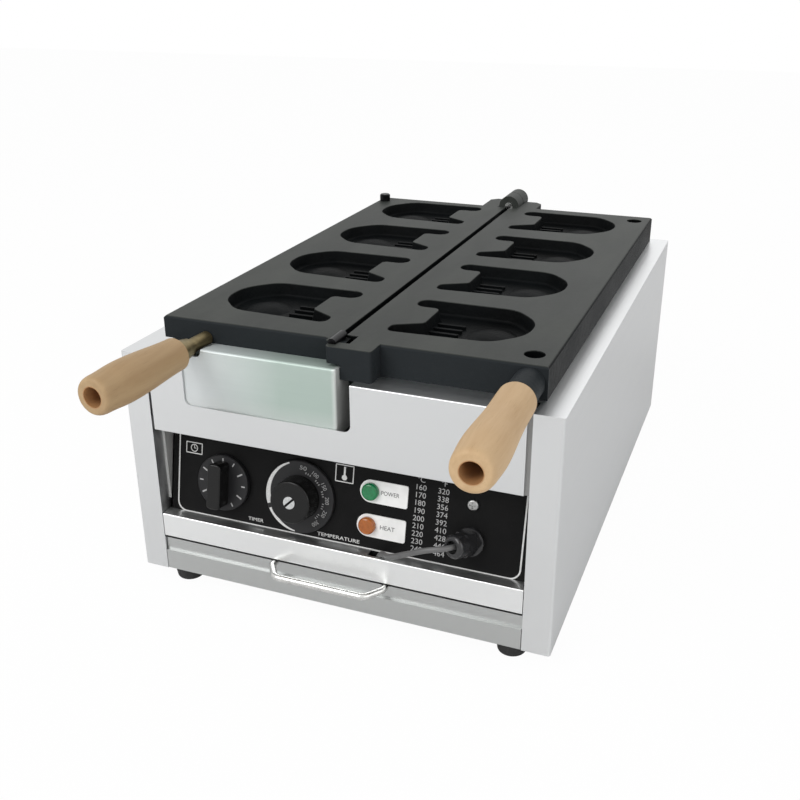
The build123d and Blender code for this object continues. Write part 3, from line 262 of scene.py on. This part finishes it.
def cast_plate(name):
    """Seasoned casting: sandy black flanks and moulds, a ground grey face with the season burnt in, and a painted
    blue-grey sheen on the front side.
    """
    material, shader = finish(name, (0.02, 0.021, 0.021), 0.5)
    vector = coordinates(material)
    sand = noise(material, vector, 1500.0, 4.0, 0.65)
    lumps = noise(material, vector, 190.0, 3.0, 0.5)
    patches = noise(material, vector, 14.0, 5.0, 0.6)
    swirl = noise(material, coordinates(material, (30.0, 9.0, 30.0)), 1.0, 4.0, 0.6)
    place = parts_of(material, vector)
    face = between(material, place["Z"], 0.0, 1.0, plate_face - 0.0007, plate_face - 0.0002)
    moulds = mottled(material, patches, (0.0022, 0.0025, 0.0026), (0.0045, 0.0055, 0.006), 0.35, 0.65)
    # Painted sheen: the front side is coloured a lighter blue-grey than the black of the rest.
    painted_front_sheen = between(material, place["Y"], 1.0, 0.0, front + 0.0226, front + 0.0240)
    dark = blended(material, painted_front_sheen, moulds, (0.022, 0.0255, 0.028))
    rubbed = between(material, swirl, 0.0, 0.6, 0.32, 0.68)
    worn = added(material, rubbed, between(material, patches, -0.1, 0.5, 0.35, 0.65))
    pale = blended(material, worn, (0.021, 0.024, 0.022), (0.045, 0.049, 0.044))
    join(material, blended(material, face, dark, pale), shader.inputs["Base Color"])
    join(material, between(material, face, 0.035, 0.18), shader.inputs["Specular IOR Level"])
    season = added(material, between(material, patches, -0.1, 0.1), between(material, sand, -0.05, 0.05))
    season = added(material, season, between(material, face, 0.46, 0.52))
    join(material, season, shader.inputs["Roughness"])
    grit = added(material, between(material, sand, 0, 0.6), between(material, lumps, 0, 1.6))
    calm = times(material, grit, between(material, face, 1.0, 0.18))
    bump(material, shader, calm, 0.00035, 0.7)
    return material


def away_from_line(material, point, direction):
    """Distance from a line, in metres."""
    source = coordinates(material)
    for operation, other in (("SUBTRACT", point), ("CROSS_PRODUCT", direction)):
        step = node(material, "ShaderNodeVectorMath")
        step.operation = operation
        join(material, source, step.inputs[0])
        step.inputs[1].default_value = other
        source = step.outputs["Vector"]
    size = node(material, "ShaderNodeVectorMath")
    size.operation = "LENGTH"
    join(material, source, size.inputs[0])
    return size.outputs["Value"]


def turned_wood(name, colour, darker, angle, near_end):
    """Bare turned wood: grain along the handle, fine pores, growth bands, and painted shade darkening the hole
    bored for the rod.
    """
    turn = (0, 0, math.radians(-angle))
    direction = Vector((-math.sin(math.radians(angle)), -math.cos(math.radians(angle)), 0))
    material, shader = finish(name, colour, 0.55)
    shader.inputs["Specular IOR Level"].default_value = 0.35
    along = coordinates(material, (95.0, 8.0, 95.0), turn)
    rings = noise(material, along, 1.0, 4.0, 0.55)
    pores = noise(material, coordinates(material, (1500.0, 60.0, 1500.0), turn), 1.0, 2.0, 0.5)
    cloud = noise(material, coordinates(material), 34.0, 3.0, 0.5)
    banded = between(material, rings, -0.2, 1.0, 0.25, 0.75)
    tone = added(material, banded, between(material, cloud, -0.25, 0.25))
    warm = blended(material, tone, darker, colour)
    specks = between(material, pores, 0.0, 0.22, 0.62, 0.75)
    spotted = blended(material, specks, warm, shaded(darker, 0.5))
    # Painted shade: wood close to the handle's axis, inside its hole, is coloured a darker warm brown.
    painted_bore_shade = between(material, away_from_line(material, near_end, direction), 1.0, 0.0, 0.0069, 0.0076)
    join(material, blended(material, painted_bore_shade, spotted, (0.40, 0.21, 0.09)), shader.inputs["Base Color"])
    join(material, between(material, pores, 0.44, 0.66), shader.inputs["Roughness"])
    relief = added(material, between(material, pores, 0, 1), between(material, rings, 0, 0.5))
    bump(material, shader, relief, 0.00008, 0.5)
    return material


def moulded(name, colour, roughness, grain=900.0, depth=0.00005):
    """Moulded plastic or rubber with a fine texture and slightly uneven gloss."""
    material, shader = finish(name, colour, roughness)
    vector = coordinates(material)
    texture = noise(material, vector, grain, 3.0, 0.6)
    haze = noise(material, vector, 40.0, 4.0, 0.6)
    join(material, between(material, haze, roughness - 0.09, roughness + 0.09), shader.inputs["Roughness"])
    lighter = tuple(min(1.0, 1.25 * part + 0.004) for part in colour)
    join(material, mottled(material, haze, colour, lighter), shader.inputs["Base Color"])
    bump(material, shader, texture, depth, 0.5)
    return material


def over_panel(material):
    """Height over the panel's face, in metres."""
    height = node(material, "ShaderNodeVectorMath")
    height.operation = "DOT_PRODUCT"
    join(material, coordinates(material, place=-panel_foot), height.inputs[0])
    height.inputs[1].default_value = panel_normal
    return height.outputs["Value"]


def dial_and_grip(name, dial_colour, grip_colour, dial_top):
    """A satin dial whose grip, above the dial's top, is glossy."""
    material, shader = finish(name, dial_colour, 0.4)
    shader.inputs["Specular IOR Level"].default_value = 0.28
    vector = coordinates(material)
    haze = noise(material, vector, 60.0, 4.0, 0.6)
    grip = between(material, over_panel(material), 0.0, 1.0, dial_top + 0.0002, dial_top + 0.0006)
    base = mottled(material, haze, dial_colour, shaded(dial_colour, 1.25))
    join(material, blended(material, grip, base, grip_colour), shader.inputs["Base Color"])
    uneven = added(material, between(material, grip, 0.42, 0.2), between(material, haze, -0.06, 0.06))
    join(material, uneven, shader.inputs["Roughness"])
    bump(material, shader, noise(material, vector, 900.0, 3.0, 0.6), 0.00003, 0.4)
    return material


def slotted_metal(name, piece):
    """Bright metal, with painted shade making it near black in the slot below the piece's highest face over the
    panel.
    """
    material, shader = finish(name, (0.6, 0.61, 0.61), 0.24, 1.0)
    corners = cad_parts[piece].data.vertices
    top = max((vertex.co - panel_foot).dot(panel_normal) for vertex in corners)
    # Painted shade: whatever lies more than half a millimetre below the top face is coloured near black.
    painted_slot_shade = between(material, over_panel(material), 1.0, 0.0, top - 0.0005, top - 0.0003)
    spots = noise(material, coordinates(material), 900.0, 3.0, 0.6)
    pale = mottled(material, spots, (0.5, 0.51, 0.51), (0.64, 0.65, 0.65), 0.35, 0.65)
    join(material, blended(material, painted_slot_shade, pale, (0.012, 0.012, 0.012)), shader.inputs["Base Color"])
    join(material, between(material, spots, 0.18, 0.32), shader.inputs["Roughness"])
    return material


def painted_panel(name):
    """Satin black paint with a fine orange peel and a little dust."""
    material, shader = finish(name, (0.0075, 0.0075, 0.0075), 0.42)
    shader.inputs["Specular IOR Level"].default_value = 0.07
    vector = coordinates(material)
    peel = noise(material, vector, 700.0, 2.0)
    dust = noise(material, vector, 1900.0, 3.0, 0.7)
    haze = noise(material, vector, 22.0, 4.0, 0.6)
    base = mottled(material, haze, (0.0055, 0.0055, 0.0058), (0.009, 0.009, 0.009))
    dusty = blended(material, between(material, dust, 0.0, 0.1, 0.62, 0.8), base, (0.25, 0.25, 0.24))
    join(material, dusty, shader.inputs["Base Color"])
    join(material, between(material, haze, 0.36, 0.5), shader.inputs["Roughness"])
    bump(material, shader, peel, 0.00003, 0.4)
    return material


def lamp_lens(name, colour):
    """A translucent coloured lens, faintly clouded."""
    material, shader = finish(name, colour, 0.16)
    shader.inputs["Coat Weight"].default_value = 0.25
    shader.inputs["Coat Roughness"].default_value = 0.08
    shader.inputs["Subsurface Weight"].default_value = 0.25
    shader.inputs["Subsurface Scale"].default_value = 0.002
    vector = coordinates(material)
    cloud = noise(material, vector, 420.0, 3.0, 0.6)
    join(material, mottled(material, cloud, shaded(colour, 0.7), colour), shader.inputs["Base Color"])
    bump(material, shader, noise(material, vector, 900.0, 2.0), 0.00004, 0.5)
    return material


def pressed_wool(name):
    """Matted ceramic fibre."""
    material, shader = finish(name, (0.72, 0.71, 0.66), 0.95)
    fibres = noise(material, coordinates(material, (300.0, 900.0, 900.0)), 1.0, 5.0, 0.7)
    matted = mottled(material, fibres, (0.55, 0.54, 0.5), (0.78, 0.77, 0.73))
    join(material, matted, shader.inputs["Base Color"])
    bump(material, shader, fibres, 0.0008, 0.8)
    return material


def print_ink(name, colour):
    """Screen-printed ink with slightly uneven cover."""
    material, shader = finish(name, colour, 0.5)
    cover = noise(material, coordinates(material), 1300.0, 3.0, 0.6)
    join(material, mottled(material, cover, shaded(colour, 0.72), colour, 0.25, 0.6), shader.inputs["Base Color"])
    return material


front_steel = brushed_sheet("front_sheet_steel", (0.73, 0.74, 0.745), (14.0, 900.0, 900.0))
# Painted light: the ledge is the front's sheet steel coloured lighter for the light it catches.
ledge_steel = brushed_sheet("ledge_steel_painted_lighter", (0.88, 0.89, 0.89), (14.0, 900.0, 900.0))
side_steel = brushed_sheet("side_sheet_steel", (0.74, 0.75, 0.755), (700.0, 12.0, 700.0))
# Painted shade: the drawer is the front's sheet steel coloured darker for the shade below the ledge.
drawer_steel = brushed_sheet("drawer_steel_painted_darker", (0.52, 0.53, 0.525), (12.0, 800.0, 800.0))
heater_box_steel = heater_box_sheet("heater_box_steel")
inner_steel = brushed_sheet("inner_sheet_steel", (0.3, 0.3, 0.295), (600.0, 10.0, 600.0), 0.5,
                            metallic=0.5)
cheek_steel = brushed_sheet("cheek_sheet_steel", (0.56, 0.56, 0.55), (600.0, 10.0, 600.0), 0.5,
                            metallic=0.6)
fastener_steel = bright_steel("fastener_steel")
screw_steel = bright_steel("dull_screw_steel", (0.42, 0.42, 0.41), 0.32)
pull_steel = bright_steel("pull_wire_steel", (0.7, 0.7, 0.68), 0.26)
# Painted reflection and painted shade: the rods' olive brown stands for the shaded wooden grip mirrored in them.
rod_steel = bright_steel("rod_painted_wood_reflection_and_shade", (0.23, 0.185, 0.098), 0.42)
# The pins are coloured near black.
dark_pin_steel = bright_steel("near_black_pin_steel", (0.018, 0.018, 0.019), 0.3)
tube_steel = bright_steel("oxidised_tube", (0.24, 0.22, 0.19), 0.45)
cap_metal = slotted_metal("slotted_cap_metal", "thermostat_cap")
cast_iron = cast_plate("seasoned_casting")
wool = pressed_wool("pressed_wool")
pale_wood = turned_wood("pale_turned_wood", (0.62, 0.44, 0.255), (0.50, 0.33, 0.175), -1.65,
                        at(130.8, -5.8, 198.2))
tan_wood = turned_wood("tan_turned_wood", (0.46, 0.32, 0.175), (0.36, 0.235, 0.12), 4.6,
                       at(-103.9, -12.5, 198.2))
black_paint = painted_panel("black_panel_paint")
black_plastic = moulded("black_dial_plastic", (0.012, 0.012, 0.012), 0.34)
timer_plastic = dial_and_grip("timer_dial_plastic", (0.013, 0.013, 0.014), (0.006, 0.006, 0.006), 0.0046)
thermostat_plastic = dial_and_grip("thermostat_dial_plastic", (0.013, 0.013, 0.014),
                                   (0.004, 0.004, 0.004), 0.0036)
grey_plastic = moulded("grey_control_plastic", (0.12, 0.13, 0.14), 0.5)
white_plastic = moulded("white_terminal_plastic", (0.68, 0.66, 0.6), 0.5)
label_plastic = moulded("pale_label_plastic", (0.74, 0.74, 0.73), 0.3, 500.0, 0.00001)
rubber = moulded("foot_rubber", (0.012, 0.012, 0.012), 0.72, 1200.0, 0.0001)
gland_plastic = moulded("glossy_gland_plastic", (0.014, 0.014, 0.015), 0.2)
sleeve = moulded("lead_sleeve_braid", (0.10, 0.10, 0.10), 0.42, 1500.0, 0.0002)
green_lens = lamp_lens("green_lamp_lens", (0.0, 0.21, 0.065))
orange_lens = lamp_lens("orange_lamp_lens", (0.42, 0.115, 0.008))
white_ink = print_ink("white_print", (0.72, 0.72, 0.71))
grey_ink = print_ink("grey_dial_print", (0.34, 0.34, 0.34))
table_ink = print_ink("grey_table_print", (0.45, 0.45, 0.45))
label_ink = print_ink("dark_label_print", (0.09, 0.09, 0.09))

dressed = {
    front_steel: ["front_apron"],
    ledge_steel: ["front_ledge"],
    side_steel: ["left_side_panel", "right_side_panel", "right_deck"],
    drawer_steel: ["crumb_drawer"],
    inner_steel: ["apron_strips", "back_panel", "base_plate", "inner_floor", "lid_bay", "drawer_runners",
                  "lower_heater_cover", "lid_rests"],
    cheek_steel: ["panel_cheeks"],
    heater_box_steel: ["upper_heater_cover", "upper_cover_front"],
    fastener_steel: ["plate_bolts", "foot_screws", "lower_cover_studs", "upper_cover_studs",
                     "rear_hinge_pin", "upper_handle_screw", "lower_handle_screw", "temperature_bulb"],
    screw_steel: ["panel_screw"],
    dark_pin_steel: ["locating_pin", "front_hinge_pin"],
    pull_steel: ["drawer_pull"],
    rod_steel: ["upper_handle_rod", "lower_handle_rod"],
    tube_steel: ["lower_heater", "upper_heater"],
    cap_metal: ["thermostat_cap"],
    cast_iron: ["lower_plate", "upper_plate"],
    wool: ["lower_wool_pad", "upper_wool_pad"],
    pale_wood: ["lower_handle_grip"],
    tan_wood: ["upper_handle_grip"],
    black_paint: ["control_panel"],
    timer_plastic: ["timer_knob"],
    thermostat_plastic: ["thermostat_knob"],
    grey_plastic: ["timer_body", "thermostat_body", "heater_relay"],
    white_plastic: ["terminal_block"],
    label_plastic: ["power_label", "heat_label"],
    rubber: ["feet"],
    gland_plastic: ["panel_gland"],
    black_plastic: ["rear_inlet"],
    green_lens: ["power_lamp"],
    orange_lens: ["heat_lamp"],
}
for material, names in dressed.items():
    for name in names:
        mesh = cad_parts[name].data
        mesh.materials.clear()
        mesh.materials.append(material)
lead.data.materials.append(sleeve)


# Modelling in millimetres on the panel's face

panel_face = Matrix((
    (1.0, 0.0, 0.0, panel_foot.x),
    (0.0, math.sin(tilt), -math.cos(tilt), panel_foot.y),
    (0.0, math.cos(tilt), math.sin(tilt), panel_foot.z),
    (0.0, 0.0, 0.0, 1.0),
))
timer_middle = (-92.7, 28.7)
thermostat_middle = (-30.4, 29.1)
ink_thickness = 0.06
dial_ink_thickness = 0.08


def take(name, material, body):
    """Name the piece just made, give it its finish and let it ride on a body."""
    piece = bpy.context.object
    piece.name = name
    piece.data.name = name
    piece.data.materials.clear()
    piece.data.materials.append(material)
    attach(piece, body)
    piece.select_set(False)
    return piece


def set_on_panel(u, v, lift=0.0):
    """Place the selected mesh, drawn about the origin in millimetres, on the panel's face."""
    piece = bpy.context.object
    move = panel_face @ Matrix.Translation((u / 1000, v / 1000, lift / 1000)) @ Matrix.Scale(0.001, 4)
    piece.data.transform(move)
    piece.matrix_world = Matrix.Identity(4)


def modified(kind, **values):
    """Add a modifier to the active piece and apply it."""
    piece = bpy.context.object
    modifier = piece.modifiers.new(kind.title(), kind)
    for name, value in values.items():
        setattr(modifier, name, value)
    bpy.ops.object.modifier_apply(modifier=modifier.name)


def words(text, width, height, thickness):
    """Lettering as a solid, width by height in millimetres about the origin."""
    bpy.ops.object.text_add()
    lettering = bpy.context.object
    lettering.data.body = text
    lettering.data.align_x = "CENTER"
    lettering.data.align_y = "CENTER"
    lettering.data.resolution_u = 3
    lettering.data.extrude = 0.05
    bpy.ops.object.convert(target="MESH")
    piece = bpy.context.object
    corners = [vertex.co for vertex in piece.data.vertices]
    low = Vector([min(corner[axis] for corner in corners) for axis in range(3)])
    high = Vector([max(corner[axis] for corner in corners) for axis in range(3)])
    middle = (low + high) / 2
    span = high - low
    scale = Vector((width / span.x, height / span.y, thickness / span.z))
    for vertex in piece.data.vertices:
        offset = vertex.co - middle
        vertex.co = Vector((offset.x * scale.x, offset.y * scale.y, offset.z * scale.z + thickness / 2))
    return piece


def printed_words(name, text, u, v, width, height, material, lift=0.02):
    """Words or numbers printed on the panel."""
    words(text, width, height, ink_thickness)
    set_on_panel(u, v, lift)
    return take(name, material, "cabinet")


def keep_arc(start, end):
    """In edit mode on a circle, keep the vertices between two angles, anticlockwise in degrees."""
    mesh = bpy.context.object.data
    bpy.ops.mesh.select_all(action="DESELECT")
    bpy.ops.object.mode_set(mode="OBJECT")
    for vertex in mesh.vertices:
        angle = (math.degrees(math.atan2(vertex.co.y, vertex.co.x)) - start) % 360
        vertex.select = angle > end - start + 0.01
    bpy.ops.object.mode_set(mode="EDIT")
    bpy.ops.mesh.delete(type="VERT")


def arc_band(radius, start, end, near_width, far_width, thickness=dial_ink_thickness, steps=180):
    """A band along an arc about the origin, its width changing from its start to its end."""
    bpy.ops.mesh.primitive_circle_add(vertices=steps, radius=radius)
    bpy.ops.object.mode_set(mode="EDIT")
    keep_arc(start, end)
    bpy.ops.mesh.select_all(action="SELECT")
    bpy.ops.mesh.extrude_edges_move()
    bpy.ops.object.mode_set(mode="OBJECT")
    piece = bpy.context.object
    for vertex in piece.data.vertices:
        if vertex.select:
            angle = (math.degrees(math.atan2(vertex.co.y, vertex.co.x)) - start) % 360
            share = min(1.0, angle / (end - start))
            width = near_width + (far_width - near_width) * share
            vertex.co *= (radius - width) / radius
    modified("SOLIDIFY", thickness=thickness, offset=0.0)
    bpy.ops.object.mode_set(mode="EDIT")
    bpy.ops.mesh.select_all(action="SELECT")
    bpy.ops.mesh.normals_make_consistent(inside=False)
    bpy.ops.object.mode_set(mode="OBJECT")
    return piece


def bar(width, length, thickness, u, v, turn=0.0):
    """A thin bar with softened ends, lying on the panel's face."""
    bpy.ops.mesh.primitive_cube_add(size=1.0)
    piece = bpy.context.object
    piece.data.transform(Matrix.Diagonal((width, length, thickness, 1.0)))
    modified("BEVEL", width=min(width, length) * 0.3, segments=2, limit_method="ANGLE")
    piece.data.transform(Matrix.Translation((u, v, thickness / 2)) @ Matrix.Rotation(turn, 4, "Z"))
    return piece


def merged(pieces):
    """Make one object of several."""
    bpy.ops.object.select_all(action="DESELECT")
    for piece in pieces:
        piece.select_set(True)
    bpy.context.view_layer.objects.active = pieces[0]
    bpy.ops.object.join()
    return bpy.context.object


def rounded_outline(left, right, low, high, corner, width):
    """A printed frame with round corners."""
    bpy.ops.mesh.primitive_plane_add(size=1.0)
    piece = bpy.context.object
    piece.data.transform(Matrix.Translation(((left + right) / 2, (low + high) / 2, 0))
                         @ Matrix.Diagonal((right - left, high - low, 1.0, 1.0)))
    bpy.ops.object.mode_set(mode="EDIT")
    bpy.ops.mesh.select_all(action="SELECT")
    bpy.ops.mesh.bevel(offset=corner, segments=8, affect="VERTICES")
    bpy.ops.mesh.select_all(action="SELECT")
    bpy.ops.mesh.inset(thickness=width)
    bpy.ops.mesh.delete(type="FACE")
    bpy.ops.object.mode_set(mode="OBJECT")
    modified("SOLIDIFY", thickness=ink_thickness, offset=1.0)
    return piece


# Printing on the panel

def print_panel():
    """Outline, words and the table of degrees."""
    rounded_outline(-133.0, 134.5, -0.6, 72.6, 8.0, 1.1)
    set_on_panel(0, 0, 0.01)
    take("panel_outline", white_ink, "cabinet")
    printed_words("timer_word", "TIMER", -66.0, 4.3, 12.5, 2.5, white_ink)
    printed_words("temperature_word", "TEMPERATURE", 0.5, 3.6, 33.0, 2.6, white_ink)
    printed_words("power_word", "POWER", 38.0, 42.9, 13.5, 3.0, label_ink, 0.81)
    printed_words("heat_word", "HEAT", 37.6, 17.8, 11.0, 3.0, label_ink, 0.81)
    table = range(160, 250, 10)
    celsius = "°C\n" + "\n".join(str(degrees) for degrees in table)
    fahrenheit = "°F\n" + "\n".join(str(round(degrees * 9 / 5 + 32)) for degrees in table)
    printed_words("celsius_numbers", celsius, 59.6, 32.4, 8.2, 54.4, table_ink)
    printed_words("fahrenheit_numbers", fahrenheit, 76.1, 32.4, 8.2, 54.4, table_ink)


def print_icons():
    """A clock in a frame over the timer and a thermometer in a frame over the thermostat."""
    rounded_outline(-127.0, -113.0, 45.6, 54.4, 0.6, 0.7)
    frame_line = bpy.context.object
    dial = arc_band(3.0, 0, 359.9, 0.6, 0.6, ink_thickness, 48)
    dial.data.transform(Matrix.Translation((-120.0, 50.0, 0)))
    hand = bar(0.5, 2.2, ink_thickness, -120.0, 51.0)
    short_hand = bar(1.8, 0.5, ink_thickness, -119.2, 50.0)
    merged([frame_line, dial, hand, short_hand])
    set_on_panel(0, 0, 0.01)
    take("timer_icon", white_ink, "cabinet")
    rounded_outline(-4.6, 9.6, 45.0, 58.0, 0.6, 0.7)
    frame_line = bpy.context.object
    bulb = arc_band(2.0, 0, 359.9, 1.9, 1.9, ink_thickness, 48)
    bulb.data.transform(Matrix.Translation((2.5, 48.6, 0)))
    stem = bar(1.5, 7.0, ink_thickness, 2.5, 53.0)
    merged([frame_line, bulb, stem])
    set_on_panel(0, 0, 0.01)
    take("thermometer_icon", white_ink, "cabinet")


def ray_bar(width, length, radius, angle):
    """A bar on a dial, pointing outwards from its middle."""
    return bar(width, length, dial_ink_thickness, radius * math.cos(angle), radius * math.sin(angle),
               angle - math.pi / 2)


def mark_timer():
    """Long and short ticks round the timer's dial."""
    ticks = []
    for index in range(12):
        angle = math.radians(90 - 30 * index)
        if index % 2 == 0:
            ticks.append(ray_bar(1.1, 4.6, 16.6, angle))
        else:
            ticks.append(ray_bar(0.9, 3.0, 17.4, angle))
    merged(ticks)
    set_on_panel(*timer_middle, 4.59)
    take("timer_ticks", table_ink, "timer_dial")


def mark_thermostat():
    """Arcs, numbers and dots on the thermostat's dial."""
    thick = arc_band(26.3, 108, 200, 1.0, 4.2)
    thin = arc_band(26.3, 206, 266, 3.4, 0.8)
    merged([thick, thin])
    set_on_panel(*thermostat_middle, 3.62)
    take("thermostat_arcs", white_ink, "thermostat_dial")
    first_angle = 84
    step = 27
    number_radius = 22.2
    pieces = []
    for index, degrees in enumerate(range(50, 350, 50)):
        angle = math.radians(first_angle - step * index)
        number = words(str(degrees), 5.4, 3.0, dial_ink_thickness)
        place = (number_radius * math.cos(angle), number_radius * math.sin(angle), 0)
        number.data.transform(Matrix.Translation(place) @ Matrix.Rotation(angle - math.pi / 2, 4, "Z"))
        pieces.append(number)
        if index < 5:
            for part in (0.3, 0.5, 0.7):
                dot_angle = math.radians(first_angle - step * (index + part))
                pieces.append(ray_bar(0.7, 1.4, 19.2, dot_angle))
    merged(pieces)
    set_on_panel(*thermostat_middle, 3.61)
    take("thermostat_numbers", grey_ink, "thermostat_dial")


print_panel()
print_icons()
mark_timer()
mark_thermostat()


# Studio

def lay_floor():
    """A pale floor, which the camera sees nearly white."""
    bpy.ops.mesh.primitive_plane_add(size=8.0)
    floor = bpy.context.object
    floor.name = "floor"
    material, shader = finish("pale_floor", (0.86, 0.86, 0.86), 0.9)
    glow = node(material, "ShaderNodeEmission")
    path = node(material, "ShaderNodeLightPath")
    part = node(material, "ShaderNodeMath")
    part.operation = "MULTIPLY"
    part.inputs[1].default_value = 0.97
    blend = node(material, "ShaderNodeMixShader")
    join(material, path.outputs["Is Camera Ray"], part.inputs[0])
    join(material, part.outputs[0], blend.inputs[0])
    join(material, shader.outputs[0], blend.inputs[1])
    join(material, glow.outputs[0], blend.inputs[2])
    join(material, blend.outputs[0], material.node_tree.nodes["Material Output"].inputs["Surface"])
    floor.data.materials.append(material)


def surround():
    """A white surround: full strength for what is seen or mirrored, weaker as light."""
    world = bpy.data.worlds.new("white_studio")
    world.use_nodes = True
    bpy.context.scene.world = world
    background = world.node_tree.nodes["Background"]
    background.inputs["Color"].default_value = (1, 1, 1, 1)
    path = node(world, "ShaderNodeLightPath").outputs
    seen = calculated(world, "MAXIMUM", path["Is Camera Ray"], path["Is Glossy Ray"])
    clear = calculated(world, "MAXIMUM", seen, path["Is Transmission Ray"])
    join(world, between(world, clear, 0.55, 1.0), background.inputs["Strength"])


def hang_lamps():
    """Broad soft lights: name, place, aim, size and power."""
    for name, place, aim, size, power in (("key", (-0.9, -1.5, 1.5), (0, 0, 0.1), 1.2, 22.0),
                                          ("fill", (1.6, -0.9, 1.0), (0, 0, 0.1), 1.4, 9.0),
                                          ("back", (0.2, 1.6, 1.4), (0, 0, 0.15), 1.4, 3.0)):
        lamp = bpy.data.lights.new(name, "AREA")
        lamp.size = size
        lamp.energy = power
        lamp_object = bpy.data.objects.new(name, lamp)
        lamp_object.location = place
        direction = Vector(aim) - Vector(place)
        lamp_object.rotation_euler = direction.to_track_quat("-Z", "Y").to_euler()
        bpy.context.scene.collection.objects.link(lamp_object)


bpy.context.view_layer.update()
lay_floor()
surround()
hang_lamps()
bpy.context.scene.view_settings.view_transform = "Standard"
